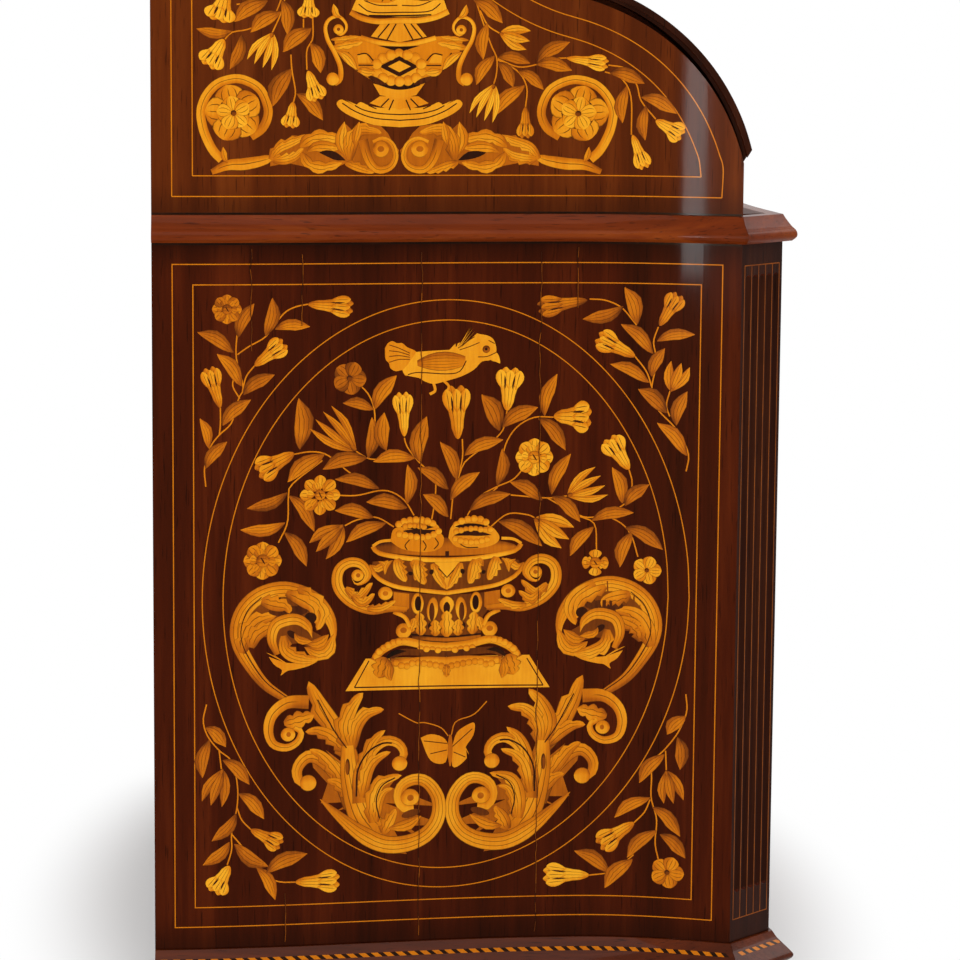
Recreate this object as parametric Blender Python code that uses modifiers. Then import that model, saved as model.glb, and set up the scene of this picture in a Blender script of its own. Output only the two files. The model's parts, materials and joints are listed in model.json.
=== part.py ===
"""Fall-front secretary: a serpentine three-drawer case with an ogee fall, lopers and a fitted interior.

Metres, +Z up, front towards -Y, standing on its feet at Z = 0 and centred on X = 0 and Y = 0.
Plan places are given as (x, depth), where depth runs from the back plane towards the front.
"""

from math import cos, pi, radians, sin

import bmesh
import bpy
import numpy as np
from mathutils import Matrix, Vector

# Plan of the case
WIDTH = 1.120  # across the front corners
SIDE_DEPTH = 0.520  # back plane to the front corner of a side
CANT = 0.042  # each way, of the cut-off front corners
SIDE_HOLLOW = 0.030  # how far a serpentine side draws in
SIDE_FLARE = 0.140  # depth over which a side flares out again to its front corner
FRONT_HOLLOW = 0.016  # how far the serpentine front draws in
FRONT_FLARE = 0.188  # width over which the front flares out again to its stile
SIDE_WALL = 0.052  # a side at its front corner
POST_DEPTH = 0.033  # a corner post, along its side
POST_STEPS = 3  # straight facets along that part of the curve
SIDE_STEPS = 14  # straight facets along a side's curve
FRONT_STEPS = 12  # straight facets along half of the front's curve

# Heights
FOOT_HEIGHT = 0.056
BASE_HEIGHT = 0.044
CASE_HEIGHT = 0.6355
WAIST_HEIGHT = 0.024
HINGE_RISE = 0.047  # waist to the writing surface
CHEEK_RISE = 0.210  # writing surface to the top board
TOP_THICKNESS = 0.022

# Boards and clearances
BOARD = 0.018
BOTTOM_BOARD = 0.022
BED_BOARD = 0.020
BACK_BOARD = 0.012
NEST_BOARD = 0.008
JOINT_GAP = 0.0003  # between pieces that are fastened together
SLIDE_GAP = 0.0012  # round a drawer front or a loper
BOX_GAP = 0.003  # round a drawer box

# Mouldings
WAIST_SEAT = 0.014
WAIST_PROJECTION = 0.012
BASE_SEAT = 0.030
BASE_PROJECTION = 0.021
PLINTH_PROJECTION = 0.013
TOP_PROJECTION = 0.008
# Profiles: waist and top as shares of projection and height, going up
WAIST_PROFILE = ((0.65, 0.0), (0.95, 0.14), (1.0, 0.28), (0.88, 0.42), (0.60, 0.56), (0.22, 0.82), (0.0, 1.0))
TOP_PROFILE = ((0.0, 0.0), (0.60, 0.30), (1.0, 0.60), (1.0, 0.82), (0.60, 1.0))
# Base as shares of its projection, out and down from its top, going up
PLINTH_DROP = 1.30
BASE_PROFILE = ((0.80, 1.27), (0.97, 1.12), (1.0, 0.97), (0.86, 0.80), (0.34, 0.30), (0.14, 0.0))

# Fluted corner posts
FLUTE_COUNT = 5
FLUTE_PITCH = 0.0102
FLUTE_WIDTH = 0.008
FLUTE_RADIUS = 0.006
FLUTE_TOP_MARGIN = 0.032
FLUTE_FOOT_MARGIN = 0.050
FLUTE_FACETS = 12

# Bun feet
FOOT_RADIUS = 0.043
FOOT_NECK = 0.029
FOOT_NECK_DROP = 0.009  # neck below the top of the foot
FOOT_COLLAR = 0.0334
FOOT_COLLAR_DEPTH = 0.0045
FOOT_SOLE = 0.0267
FOOT_RINGS = 7  # facets of the bun from neck to sole
FOOT_FACETS = 20
FOOT_INSET = 0.052  # of a foot's centre from the outer corner of the case

# Drawers and lopers
TOP_DRAWER_HEIGHT = 0.100
MIDDLE_DRAWER_HEIGHT = 0.228
DRAWER_FRONT_LEAST = 0.016  # a drawer front where it is thinnest
DRAWER_SIDE = 0.012
DRAWER_BOTTOM = 0.008
DRAWER_REAR = 0.040  # depth at which a drawer box ends
DRAWER_HEADROOM = 0.012
LOPER_WIDTH = 0.026
LOPER_REAR = 0.140
LOPER_GUIDE = 0.012
LOPER_GUIDE_REAR = 0.060

# Pulls
PLATE_WIDTH = 0.096
PLATE_HEIGHT = 0.046
PLATE_THICKNESS = 0.0016
PLATE_FACETS = 28
POST_SPACING = 0.064
POST_RADIUS = 0.005
POST_TIP_RADIUS = 0.0045
POST_FACETS = 12
POST_LENGTH = 0.0135
BAIL_AXIS_OUT = 0.0085  # in front of the plate
BAIL_AXIS_UP = 0.006  # above the plate's middle
BAIL_RADIUS = 0.0023
BAIL_REACH = 0.010  # how far its arms stand outside the posts
BAIL_DROP = 0.032
BAIL_ELBOW = 0.004
BAIL_ARM = 0.0144  # axis to the start of the grip's curve
BAIL_CURVE = (0.75, 0.8)  # squareness of that curve, across and down
BAIL_ELBOW_STEPS = 3
BAIL_GRIP_STEPS = 8
BAIL_RUNNING_GAP = 0.0003

# Ogee of the cheeks, as (back from the front edge, up from the writing surface)
SWELL_RUN = 0.144
SWELL_RISE = 0.144
OGEE_RUN = 0.246
FOOT_HANDLE = (0.017, 0.069)
TURN_HANDLE = (0.080, 0.0206)
HOLLOW_HANDLE = (0.038, 0.0098)
TOP_HANDLE = (0.034, 0.0344)
OGEE_STEPS = 12  # facets of each of its two curves
OGEE_TAIL = 0.040  # how far it runs on straight past its ends, to be cut off square

# Fall
FALL_LEAN = radians(58.5)  # of its flat inner face, back from upright
FALL_SHELL = 0.0085
FALL_CROWDING = 1.25  # how strongly its facets crowd towards the hinge
LIP_STANDOFF_LOW = 0.001  # shell to cheek at the hinge
LIP_STANDOFF_HIGH = 0.0055  # shell to cheek past the swell
STANDOFF_SPAN = 0.150  # along the fall, from the hinge, over which the standoff grows
FALL_END_GAP = 0.002
FALL_SIDE_GAP = 0.001
LIP_PROUD = 0.001  # of the shell's ends, past the cheeks
FRAME_START = 0.005
FRAME_FACE = 0.016
FRAME_RAIL = 0.026
FRAME_RIB = 0.028
REST_RAIL = 0.014
LEATHER = 0.0017
LEATHER_MARGIN_X = 0.075
LEATHER_MARGIN_LOW = 0.042
LEATHER_MARGIN_HIGH = 0.030

# Butt hinges of the fall
HINGE_INSET = 0.188  # of a hinge's middle from the cheek
HINGE_LENGTH = 0.066
HINGE_LEAF = 0.026
HINGE_PLATE = 0.0018
KNUCKLE_RADIUS = 0.0035
PIN_RADIUS = 0.0016
HINGE_GAP = 0.0003

# Fitted interior
NEST_SETBACK = 0.059  # behind the front of the top, clear of the rail that the fall rests against
NEST_BAY = 0.300  # open middle compartment
NEST_DRAWER_HEIGHT = 0.062
NEST_WALL = 0.007
NEST_CLEARANCE = 0.001

BASE_TOP = FOOT_HEIGHT + BASE_HEIGHT
CASE_TOP = BASE_TOP + CASE_HEIGHT
WAIST_TOP = CASE_TOP + WAIST_HEIGHT
HINGE_Z = WAIST_TOP + HINGE_RISE
CHEEK_TOP = HINGE_Z + CHEEK_RISE
FRONT_DEPTH = SIDE_DEPTH + CANT
INNER_X = WIDTH / 2 - SIDE_WALL
STILE_X = WIDTH / 2 - CANT
UPPER_TIER = CASE_TOP - TOP_DRAWER_HEIGHT
MIDDLE_TIER = UPPER_TIER - BOARD - MIDDLE_DRAWER_HEIGHT
LOWER_TIER = BASE_TOP + BOTTOM_BOARD
INSIDE_REAR = BACK_BOARD + JOINT_GAP
SIDE_HOLLOW_DEPTH = SIDE_DEPTH - SIDE_FLARE
FRONT_HOLLOW_X = STILE_X - FRONT_FLARE
POST_SEAM = SIDE_DEPTH - POST_DEPTH
DRAWER_FRONT_BACK = FRONT_DEPTH - FRONT_HOLLOW - DRAWER_FRONT_LEAST
HINGE_X = INNER_X - HINGE_INSET
NEST_DEPTH = SIDE_DEPTH - OGEE_RUN - NEST_SETBACK
SLOPE_STEP = 1e-5  # for measuring the slope of a curve
TINY = 1e-6  # for telling points apart

MAHOGANY = ("mahogany", (0.075, 0.022, 0.010), 0.32, 0.0)
MOULDING = ("moulding_mahogany", (0.150, 0.045, 0.018), 0.30, 0.0)
OAK = ("oak", (0.330, 0.190, 0.090), 0.60, 0.0)
BRASS = ("brass", (0.620, 0.430, 0.150), 0.28, 1.0)
HIDE = ("hide", (0.060, 0.085, 0.045), 0.55, 0.0)


def clear_scene():
    """Removes every object of the scene."""
    for obj in list(bpy.data.objects):
        bpy.data.objects.remove(obj, do_unlink=True)


def new_collection(name):
    """Adds a collection to the scene."""
    collection = bpy.data.collections.new(name)
    bpy.context.scene.collection.children.link(collection)
    return collection


clear_scene()
PARTS = new_collection("fall_front_secretary")
CUTTERS = new_collection("cutters")


def material(look):
    """The Principled material of a look, made once."""
    name, colour, roughness, metallic = look
    found = bpy.data.materials.get(name)
    if found:
        return found
    made = bpy.data.materials.new(name)
    made.use_nodes = True
    shader = made.node_tree.nodes["Principled BSDF"]
    shader.inputs["Base Color"].default_value = (*colour, 1.0)
    shader.inputs["Roughness"].default_value = roughness
    shader.inputs["Metallic"].default_value = metallic
    return made


def piece(name, mesh, look=None):
    """Adds a mesh as a piece with a look, or as a cutter when it has none."""
    obj = bpy.data.objects.new(name, mesh)
    if look:
        mesh.materials.append(material(look))
        PARTS.objects.link(obj)
    else:
        CUTTERS.objects.link(obj)
        obj.hide_render = True
        obj.display_type = "WIRE"
    return obj


def mesh_of(bm, name):
    """Turns a bmesh into a mesh with its faces pointing out."""
    bmesh.ops.recalc_face_normals(bm, faces=bm.faces)
    mesh = bpy.data.meshes.new(name)
    bm.to_mesh(mesh)
    bm.free()
    return mesh


def modify(obj, operation, tool):
    """Cuts, joins or limits a piece by another mesh."""
    boolean = obj.modifiers.new(operation.lower() + "_" + tool.name, "BOOLEAN")
    boolean.operation = operation
    boolean.solver = "EXACT"
    boolean.object = tool


def carry(empty, *pieces):
    """Hangs pieces on the empty that marks their joint, without moving them."""
    for obj in pieces:
        obj.parent = empty
        obj.matrix_parent_inverse = empty.matrix_world.inverted()


def joint_mark(name, place):
    """Adds an empty on a joint's axis."""
    empty = bpy.data.objects.new(name, None)
    PARTS.objects.link(empty)
    empty.location = place
    bpy.context.view_layer.update()
    return empty


def world_y(depth):
    """World Y of a depth from the back plane."""
    return BACK_Y - depth


def box(name, x, depth, z, look=None):
    """A rectangular piece between pairs of x, depth and z."""
    bm = bmesh.new()
    bmesh.ops.create_cube(bm, size=1.0)
    size = (x[1] - x[0], depth[1] - depth[0], z[1] - z[0])
    bmesh.ops.scale(bm, vec=size, verts=bm.verts)
    middle = (sum(x) / 2, world_y(sum(depth) / 2), sum(z) / 2)
    bmesh.ops.translate(bm, vec=middle, verts=bm.verts)
    return piece(name, mesh_of(bm, name), look)


def flat_mesh(name, outline, low, high, turn):
    """Extrudes a closed flat outline between two levels and turns it into place."""
    curve = bpy.data.curves.new(name, "CURVE")
    curve.dimensions = "2D"
    curve.fill_mode = "BOTH"
    curve.extrude = (high - low) / 2
    spline = curve.splines.new("POLY")
    spline.points.add(len(outline) - 1)
    for point, place in zip(spline.points, outline):
        point.co = (place[0], place[1], 0.0, 1.0)
    spline.use_cyclic_u = True
    holder = bpy.data.objects.new(name + "_outline", curve)
    CUTTERS.objects.link(holder)
    graph = bpy.context.evaluated_depsgraph_get()
    flat = bpy.data.meshes.new_from_object(holder.evaluated_get(graph))
    bpy.data.objects.remove(holder)
    bm = bmesh.new()
    bm.from_mesh(flat)
    bmesh.ops.remove_doubles(bm, verts=bm.verts, dist=TINY)
    lift = Matrix.Translation((0, 0, (low + high) / 2))
    bmesh.ops.transform(bm, matrix=turn @ lift, verts=bm.verts)
    bmesh.ops.recalc_face_normals(bm, faces=bm.faces)
    made = bpy.data.meshes.new(name)
    bm.to_mesh(made)
    bm.free()
    return made


def plan_piece(name, outline, z, look=None):
    """Extrudes an outline of (x, depth) points between two heights."""
    places = [(x, world_y(depth)) for x, depth in outline]
    return piece(name, flat_mesh(name, places, z[0], z[1], Matrix.Identity(4)), look)


SECTION_TURN = Matrix(((0, 0, 1, 0), (1, 0, 0, 0), (0, 1, 0, 0), (0, 0, 0, 1)))


def section_piece(name, outline, x, look=None):
    """Extrudes an outline of (depth, z) points between two places along X."""
    places = [(world_y(depth), z) for depth, z in outline]
    return piece(name, flat_mesh(name, places, x[0], x[1], SECTION_TURN), look)


def side_hollow(depth):
    """How far a side is drawn in at a depth: an S-curve that flares out again to the corner."""
    if depth < SIDE_HOLLOW_DEPTH:
        return SIDE_HOLLOW * (1 - cos(pi * depth / SIDE_HOLLOW_DEPTH)) / 2
    flare = (depth - SIDE_HOLLOW_DEPTH) / (SIDE_DEPTH - SIDE_HOLLOW_DEPTH)
    return SIDE_HOLLOW * cos(pi / 2 * flare)


def front_depth(x):
    """Depth of the serpentine front at a place along X."""
    reach = abs(x)
    if reach < FRONT_HOLLOW_X:
        return FRONT_DEPTH - FRONT_HOLLOW * (1 - cos(pi * reach / FRONT_HOLLOW_X)) / 2
    flare = (reach - FRONT_HOLLOW_X) / (STILE_X - FRONT_HOLLOW_X)
    return FRONT_DEPTH - FRONT_HOLLOW * cos(pi / 2 * flare)


def side_x(depth):
    """Half width of the case at a depth."""
    return WIDTH / 2 - side_hollow(depth)


def side_line(start, end, out=0.0):
    """Points along the right side between two depths, moved out sideways."""
    return [(side_x(depth) + out, depth) for depth in np.linspace(start, end, SIDE_STEPS + 1)]


def front_line(start, end, back=0.0):
    """Points along the front between two places along X, moved back."""
    steps = max(2, round(FRONT_STEPS * abs(end - start) / STILE_X))
    return [(x, front_depth(x) - back) for x in np.linspace(start, end, steps + 1)]


def mirrored(outline):
    """The same outline on the left, running the other way."""
    return [(-x, depth) for x, depth in reversed(outline)]


def sided(outline, side):
    """The outline on the right, side 1, or on the left, side -1."""
    return outline if side > 0 else mirrored(outline)


def side_normal(depth):
    """Outward direction of the right side in plan."""
    slope = (side_x(depth + SLOPE_STEP) - side_x(depth - SLOPE_STEP)) / (2 * SLOPE_STEP)
    return Vector((1.0, -slope)).normalized()


def front_normal(x):
    """Outward direction of the front in plan."""
    slope = (front_depth(x + SLOPE_STEP) - front_depth(x - SLOPE_STEP)) / (2 * SLOPE_STEP)
    return Vector((-slope, 1.0)).normalized()


CANT_NORMAL = Vector((1.0, 1.0)).normalized()
CANT_RUN = Vector((-1.0, 1.0)).normalized()
OUTER_CORNER = Vector((WIDTH / 2, SIDE_DEPTH))
INNER_CORNER = Vector((STILE_X, FRONT_DEPTH))


def mitre(first, second):
    """Direction in which a corner moves when both of its faces move out by one."""
    return (first + second) / (1 + first.dot(second))


BASE_CORNER = INNER_CORNER + mitre(CANT_NORMAL, front_normal(STILE_X)) * BASE_PROJECTION
BACK_Y = BASE_CORNER.y / 2  # so that the base is centred on Y = 0


def side_stations():
    """Places and outward directions along the right side, ending in the mitre at the cant."""
    depths = np.linspace(JOINT_GAP, SIDE_DEPTH, SIDE_STEPS + 1)
    found = [(Vector((side_x(d), d)), side_normal(d)) for d in depths]
    found[0] = (found[0][0], Vector((1.0, 0.0)))
    run = Vector((-found[-1][1].y, found[-1][1].x))
    found[-1] = (OUTER_CORNER - run * JOINT_GAP / 2, mitre(found[-1][1], CANT_NORMAL))
    return found


def front_stations():
    """Places and outward directions along the front, from the left mitre round to the right one."""
    start = OUTER_CORNER + CANT_RUN * JOINT_GAP / 2
    half = [(start, mitre(side_normal(SIDE_DEPTH), CANT_NORMAL))]
    half.append((INNER_CORNER, mitre(CANT_NORMAL, front_normal(STILE_X))))
    inside = np.linspace(STILE_X, 0, FRONT_STEPS + 1)[1:]
    half += [(Vector((x, front_depth(x))), front_normal(x)) for x in inside]
    left = [(Vector((-p.x, p.y)), Vector((-n.x, n.y))) for p, n in half[:-1]]
    return left + half[::-1]


def swept(name, sections, look):
    """Grows a piece by carrying a flat section from place to place."""
    bm = bmesh.new()
    face = bm.faces.new([bm.verts.new(place) for place in sections[0]])
    for step, (last, section) in enumerate(zip(sections, sections[1:])):
        grown = bmesh.ops.extrude_face_region(bm, geom=[face])
        if step:
            bmesh.ops.delete(bm, geom=[face], context="FACES_ONLY")
        face = next(g for g in grown["geom"] if isinstance(g, bmesh.types.BMFace))
        for vert in face.verts:
            nearest = min(range(len(last)), key=lambda k: (vert.co - last[k]).length)
            vert.co = section[nearest]
    return piece(name, mesh_of(bm, name), look)


def moulding(name, profile, stations, side, look):
    """Runs a moulding's profile of (out, z) points along stations of the outline."""
    sections = []
    for place, out_way in stations:
        points = [(place + out_way * out, z) for out, z in profile]
        sections.append([Vector((side * p.x, world_y(p.y), z)) for p, z in points])
    return swept(name, sections, look)


def stacked(name, stations, levels, look):
    """Grows a board upwards from its outline, level by level of (out, z)."""
    sections = []
    for out, z in levels:
        points = [place + out_way * out for place, out_way in stations]
        sections.append([Vector((p.x, world_y(p.y), z)) for p in points])
    return swept(name, sections, look)


def bezier(points, steps):
    """Places along a cubic curve."""
    first, second, third, last = (np.array(p) for p in points)
    t = np.linspace(0, 1, steps + 1)[:, None]
    ends = (1 - t) ** 3 * first + t**3 * last
    return ends + 3 * t * (1 - t) ** 2 * second + 3 * t**2 * (1 - t) * third


def ogee(steps):
    """The front edge of a cheek from the hinge up, as (back, up) points."""
    turn = np.array((SWELL_RUN, SWELL_RISE))
    top = np.array((OGEE_RUN, CHEEK_RISE))
    swell = bezier(((0, 0), FOOT_HANDLE, turn - TURN_HANDLE, turn), steps)
    hollow = bezier((turn, turn + HOLLOW_HANDLE, top - TOP_HANDLE, top), steps)
    return np.vstack([swell, hollow[1:]])


def along_fall(point):
    """Distance along the fall's inner face from the hinge, and out from it, of a (back, up) point."""
    back, up = point
    span = back * sin(FALL_LEAN) + up * cos(FALL_LEAN)
    return span, up * sin(FALL_LEAN) - back * cos(FALL_LEAN)


def from_fall(span, out):
    """The (depth, z) place of a distance along the closed fall and out from its inner face."""
    back = span * sin(FALL_LEAN) - out * cos(FALL_LEAN)
    up = span * cos(FALL_LEAN) + out * sin(FALL_LEAN)
    return SIDE_DEPTH - back, HINGE_Z + up


def shell_out(thickness):
    """How far a face of the shell stands out from the fall's inner face, as a function of span."""
    edge = ogee(4 * OGEE_STEPS)
    run = np.gradient(edge, axis=0)
    run /= np.linalg.norm(run, axis=1)[:, None]
    before = edge[:1] - run[:1] * OGEE_TAIL
    after = edge[-1:] + run[-1:] * OGEE_TAIL
    edge = np.vstack([before, edge, after])
    run = np.vstack([run[:1], run, run[-1:]])
    normal = np.stack([-run[:, 1], run[:, 0]], axis=1)
    spans = np.array([along_fall(p)[0] for p in edge])
    share = np.clip(spans / STANDOFF_SPAN, 0, 1)
    standoff = LIP_STANDOFF_LOW + (LIP_STANDOFF_HIGH - LIP_STANDOFF_LOW) * share
    face = edge + normal * (standoff + thickness)[:, None]
    places = np.array([along_fall(p) for p in face])
    return lambda span: float(np.interp(span, places[:, 0], places[:, 1]))


FALL_SPAN = along_fall((OGEE_RUN, CHEEK_RISE))[0]


def fall_spans(start, end):
    """Places along the fall, closer together near the hinge."""
    shares = np.linspace(0, 1, 2 * OGEE_STEPS + 1) ** FALL_CROWDING
    return [start + (end - start) * share for share in shares]


def fall_box(name, x, span, out, look=None):
    """A rectangular piece lying on the closed fall."""
    corners = [(span[0], out[0]), (span[1], out[0]), (span[1], out[1]), (span[0], out[1])]
    return section_piece(name, [from_fall(*corner) for corner in corners], x, look)


def cylinder(name, radius, x, place, look=None, facets=16):
    """A round bar along X at a (depth, z) place."""
    bm = bmesh.new()
    bmesh.ops.create_cone(
        bm, cap_ends=True, segments=facets, radius1=radius, radius2=radius, depth=x[1] - x[0]
    )
    half_facet = Matrix.Rotation(pi / facets, 3, "Z")
    along = Matrix.Rotation(pi / 2, 3, "Y") @ half_facet
    bmesh.ops.rotate(bm, cent=(0, 0, 0), matrix=along, verts=bm.verts)
    bmesh.ops.translate(bm, vec=(sum(x) / 2, world_y(place[0]), place[1]), verts=bm.verts)
    return piece(name, mesh_of(bm, name), look)


def side_name(side):
    """The word for a side."""
    return "left" if side < 0 else "right"


def make_case():
    """Sides, posts, boards and back of the drawer case."""
    for side in (-1, 1):
        word = side_name(side)
        panel = [(INNER_X, JOINT_GAP)] + side_line(JOINT_GAP, POST_SEAM) + [(INNER_X, POST_SEAM)]
        heights = (BASE_TOP + JOINT_GAP, CASE_TOP - JOINT_GAP)
        plan_piece(f"lower_{word}_side", sided(panel, side), heights, MAHOGANY)
        make_post(side, heights)
    inside = INNER_X - JOINT_GAP
    top_edge = CHEEK_TOP - JOINT_GAP
    box("back_panel", (-inside, inside), (0, BACK_BOARD), (BASE_TOP + JOINT_GAP, top_edge), OAK)
    shelf = front_line(-inside, inside)
    shelf += [(inside, INSIDE_REAR), (-inside, INSIDE_REAR)]
    for name, bottom, thickness in (
        ("case_bottom", BASE_TOP, BOTTOM_BOARD),
        ("lower_drawer_rail", MIDDLE_TIER - BOARD, BOARD),
        ("upper_drawer_rail", UPPER_TIER - BOARD, BOARD),
    ):
        plan_piece(name, shelf, (bottom + JOINT_GAP, bottom + thickness), MAHOGANY)
    make_case_top()


def make_case_top():
    """The board inside the waist moulding, notched round the back panel."""
    out = -(WAIST_SEAT + JOINT_GAP)
    right = [place + way * out for place, way in side_stations()]
    half_front = [place + way * out for place, way in front_stations()]
    ring = [(p.x, p.y) for p in right[:-1]]
    front = [(p.x, p.y) for p in half_front[1:-1]]
    notch = INNER_X + JOINT_GAP
    back = [(-notch, JOINT_GAP), (-notch, INSIDE_REAR), (notch, INSIDE_REAR), (notch, JOINT_GAP)]
    outline = back + ring + front[::-1] + mirrored(ring)
    plan_piece("case_top", outline, (CASE_TOP + JOINT_GAP, WAIST_TOP), MAHOGANY)


def make_post(side, heights):
    """A corner post with a canted, fluted face."""
    outline = [(INNER_X, POST_SEAM + JOINT_GAP)]
    outline += [(side_x(d), d) for d in np.linspace(POST_SEAM + JOINT_GAP, SIDE_DEPTH, POST_STEPS + 1)]
    outline += front_line(STILE_X, INNER_X)
    word = side_name(side)
    post = plan_piece(f"{word}_corner_post", sided(outline, side), heights, MAHOGANY)
    sink = (FLUTE_RADIUS**2 - (FLUTE_WIDTH / 2) ** 2) ** 0.5
    middle = (OUTER_CORNER + INNER_CORNER) / 2 + CANT_NORMAL * sink
    low = heights[0] + FLUTE_FOOT_MARGIN
    high = heights[1] - FLUTE_TOP_MARGIN
    for k in range(FLUTE_COUNT):
        place = middle + CANT_RUN * FLUTE_PITCH * (k - (FLUTE_COUNT - 1) / 2)
        bm = bmesh.new()
        ball = bmesh.ops.create_uvsphere(
            bm, u_segments=FLUTE_FACETS, v_segments=2 * FLUTE_FACETS // 3, radius=FLUTE_RADIUS
        )
        equator = [v for v in ball["verts"] if abs(v.co.z) < TINY]
        stretch_capsule(bm, equator, high - low)
        bmesh.ops.translate(bm, vec=(side * place.x, world_y(place.y), low), verts=bm.verts)
        modify(post, "DIFFERENCE", piece(f"{word}_flute_cutter_{k + 1}", mesh_of(bm, "flute")))


def stretch_capsule(bm, equator, length):
    """Splits a ball at its equator and lifts the upper half, leaving a round-ended bar."""
    rim = [e for e in bm.edges if all(v in equator for v in e.verts)]
    bmesh.ops.split_edges(bm, edges=rim)
    faces = [f for f in bm.faces if f.calc_center_median().z > 0]
    lifted = {v for f in faces for v in f.verts}
    bmesh.ops.translate(bm, vec=(0, 0, length), verts=list(lifted))
    open_edges = [e for e in bm.edges if e.is_boundary]
    bmesh.ops.bridge_loops(bm, edges=open_edges)


def make_mouldings():
    """Waist and base mouldings, each in a left, a right and a front run."""
    floor = CASE_TOP + JOINT_GAP
    rise = WAIST_TOP - floor
    waist = [(-WAIST_SEAT, floor)]
    waist += [(out * WAIST_PROJECTION, floor + up * rise) for out, up in WAIST_PROFILE]
    waist.append((-WAIST_SEAT, WAIST_TOP))
    nose = BASE_PROJECTION
    base = [(-BASE_SEAT, FOOT_HEIGHT), (PLINTH_PROJECTION, FOOT_HEIGHT)]
    base.append((PLINTH_PROJECTION, BASE_TOP - PLINTH_DROP * nose))
    base += [(out * nose, BASE_TOP - down * nose) for out, down in BASE_PROFILE]
    base.append((-BASE_SEAT, BASE_TOP))
    for name, profile in (("waist_moulding", waist), ("base_moulding", base)):
        moulding(f"{name}_left", profile, side_stations(), -1, MOULDING)
        moulding(f"{name}_right", profile, side_stations(), 1, MOULDING)
        moulding(f"{name}_front", profile, front_stations(), 1, MOULDING)


def make_feet():
    """Four turned bun feet."""
    top = FOOT_HEIGHT - JOINT_GAP
    neck = top - FOOT_NECK_DROP
    turned = [(0.0, top), (FOOT_COLLAR, top), (FOOT_COLLAR, top - FOOT_COLLAR_DEPTH), (FOOT_NECK, neck)]
    for k in range(1, FOOT_RINGS):
        angle = pi * k / FOOT_RINGS
        swell = FOOT_SOLE + (FOOT_RADIUS - FOOT_SOLE) * sin(angle)
        turned.append((swell, neck * (1 + cos(angle)) / 2))
    turned += [(FOOT_SOLE, 0.0), (0.0, 0.0)]
    for side in (-1, 1):
        for word, depth in (("rear", FOOT_INSET), ("front", SIDE_DEPTH - FOOT_INSET + CANT / 2)):
            bm = bmesh.new()
            verts = [bm.verts.new((radius, 0, z)) for radius, z in turned]
            for first, second in zip(verts, verts[1:]):
                bm.edges.new((first, second))
            name = f"{word}_{side_name(side)}_foot"
            mesh = bpy.data.meshes.new(name)
            bm.to_mesh(mesh)
            bm.free()
            foot = piece(name, mesh, MOULDING)
            foot.location = (side * (WIDTH / 2 - FOOT_INSET), world_y(depth), 0)
            screw = foot.modifiers.new("turned", "SCREW")
            screw.steps = FOOT_FACETS
            screw.render_steps = FOOT_FACETS
            screw.use_merge_vertices = True
            screw.merge_threshold = TINY


def make_cheeks():
    """The two ogee-fronted sides of the writing part."""
    edge = [(SIDE_DEPTH - back, HINGE_Z + up) for back, up in ogee(OGEE_STEPS)]
    floor = WAIST_TOP + JOINT_GAP
    outline = [(JOINT_GAP, floor), (SIDE_DEPTH, floor)] + edge + [(JOINT_GAP, CHEEK_TOP)]
    for side in (-1, 1):
        word = side_name(side)
        across = sorted((side * INNER_X, side * (WIDTH / 2 + CANT)))
        cheek = section_piece(f"{word}_cheek", outline, across, MAHOGANY)
        plan = [(INNER_X - CANT, -CANT), (side_x(0), -CANT)]
        plan += side_line(0, SIDE_DEPTH)
        plan += [(side_x(SIDE_DEPTH), FRONT_DEPTH), (INNER_X - CANT, FRONT_DEPTH)]
        reach = (CASE_TOP, CHEEK_TOP + CANT)
        modify(cheek, "INTERSECT", plan_piece(f"{word}_cheek_plan", sided(plan, side), reach))


def make_top():
    """Top board with a moulded edge, and the rail that the closed fall rests against."""
    front = SIDE_DEPTH - OGEE_RUN
    depths = np.linspace(0, front, SIDE_STEPS // 2 + 1)
    right = [(Vector((side_x(d), d)), side_normal(d)) for d in depths]
    right[0] = (right[0][0], Vector((1.0, 0.0)))
    right[-1] = (right[-1][0], mitre(right[-1][1], Vector((0.0, 1.0))))
    left = [(Vector((-p.x, p.y)), Vector((-n.x, n.y))) for p, n in reversed(right)]
    floor = CHEEK_TOP + JOINT_GAP
    levels = [(out * TOP_PROJECTION, floor + up * TOP_THICKNESS) for out, up in TOP_PROFILE]
    stacked("top_board", right + left, levels, MAHOGANY)
    rail_low = FALL_SPAN + FALL_END_GAP / 4
    rail_high = rail_low + REST_RAIL
    under_top = CHEEK_RISE - JOINT_GAP
    section = []
    for span, at_top in ((rail_low, False), (rail_low, True), (rail_high, True), (rail_high, False)):
        reach = (under_top - span * cos(FALL_LEAN)) / sin(FALL_LEAN)
        section.append(from_fall(span, reach if at_top else JOINT_GAP))
    inside = INNER_X - JOINT_GAP
    section_piece("fall_rest_rail", section, (-inside, inside), MAHOGANY)


def make_bed():
    """Writing bed and the rail under its front edge."""
    inside = INNER_X - JOINT_GAP
    front = SIDE_DEPTH - JOINT_GAP
    under = HINGE_Z - BED_BOARD
    bed = box("writing_bed", (-inside, inside), (INSIDE_REAR, front), (under, HINGE_Z), MAHOGANY)
    heights = (WAIST_TOP + JOINT_GAP, under - JOINT_GAP)
    box("front_rail", (-inside, inside), (front - BED_BOARD, front), heights, MAHOGANY)
    return bed


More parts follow.
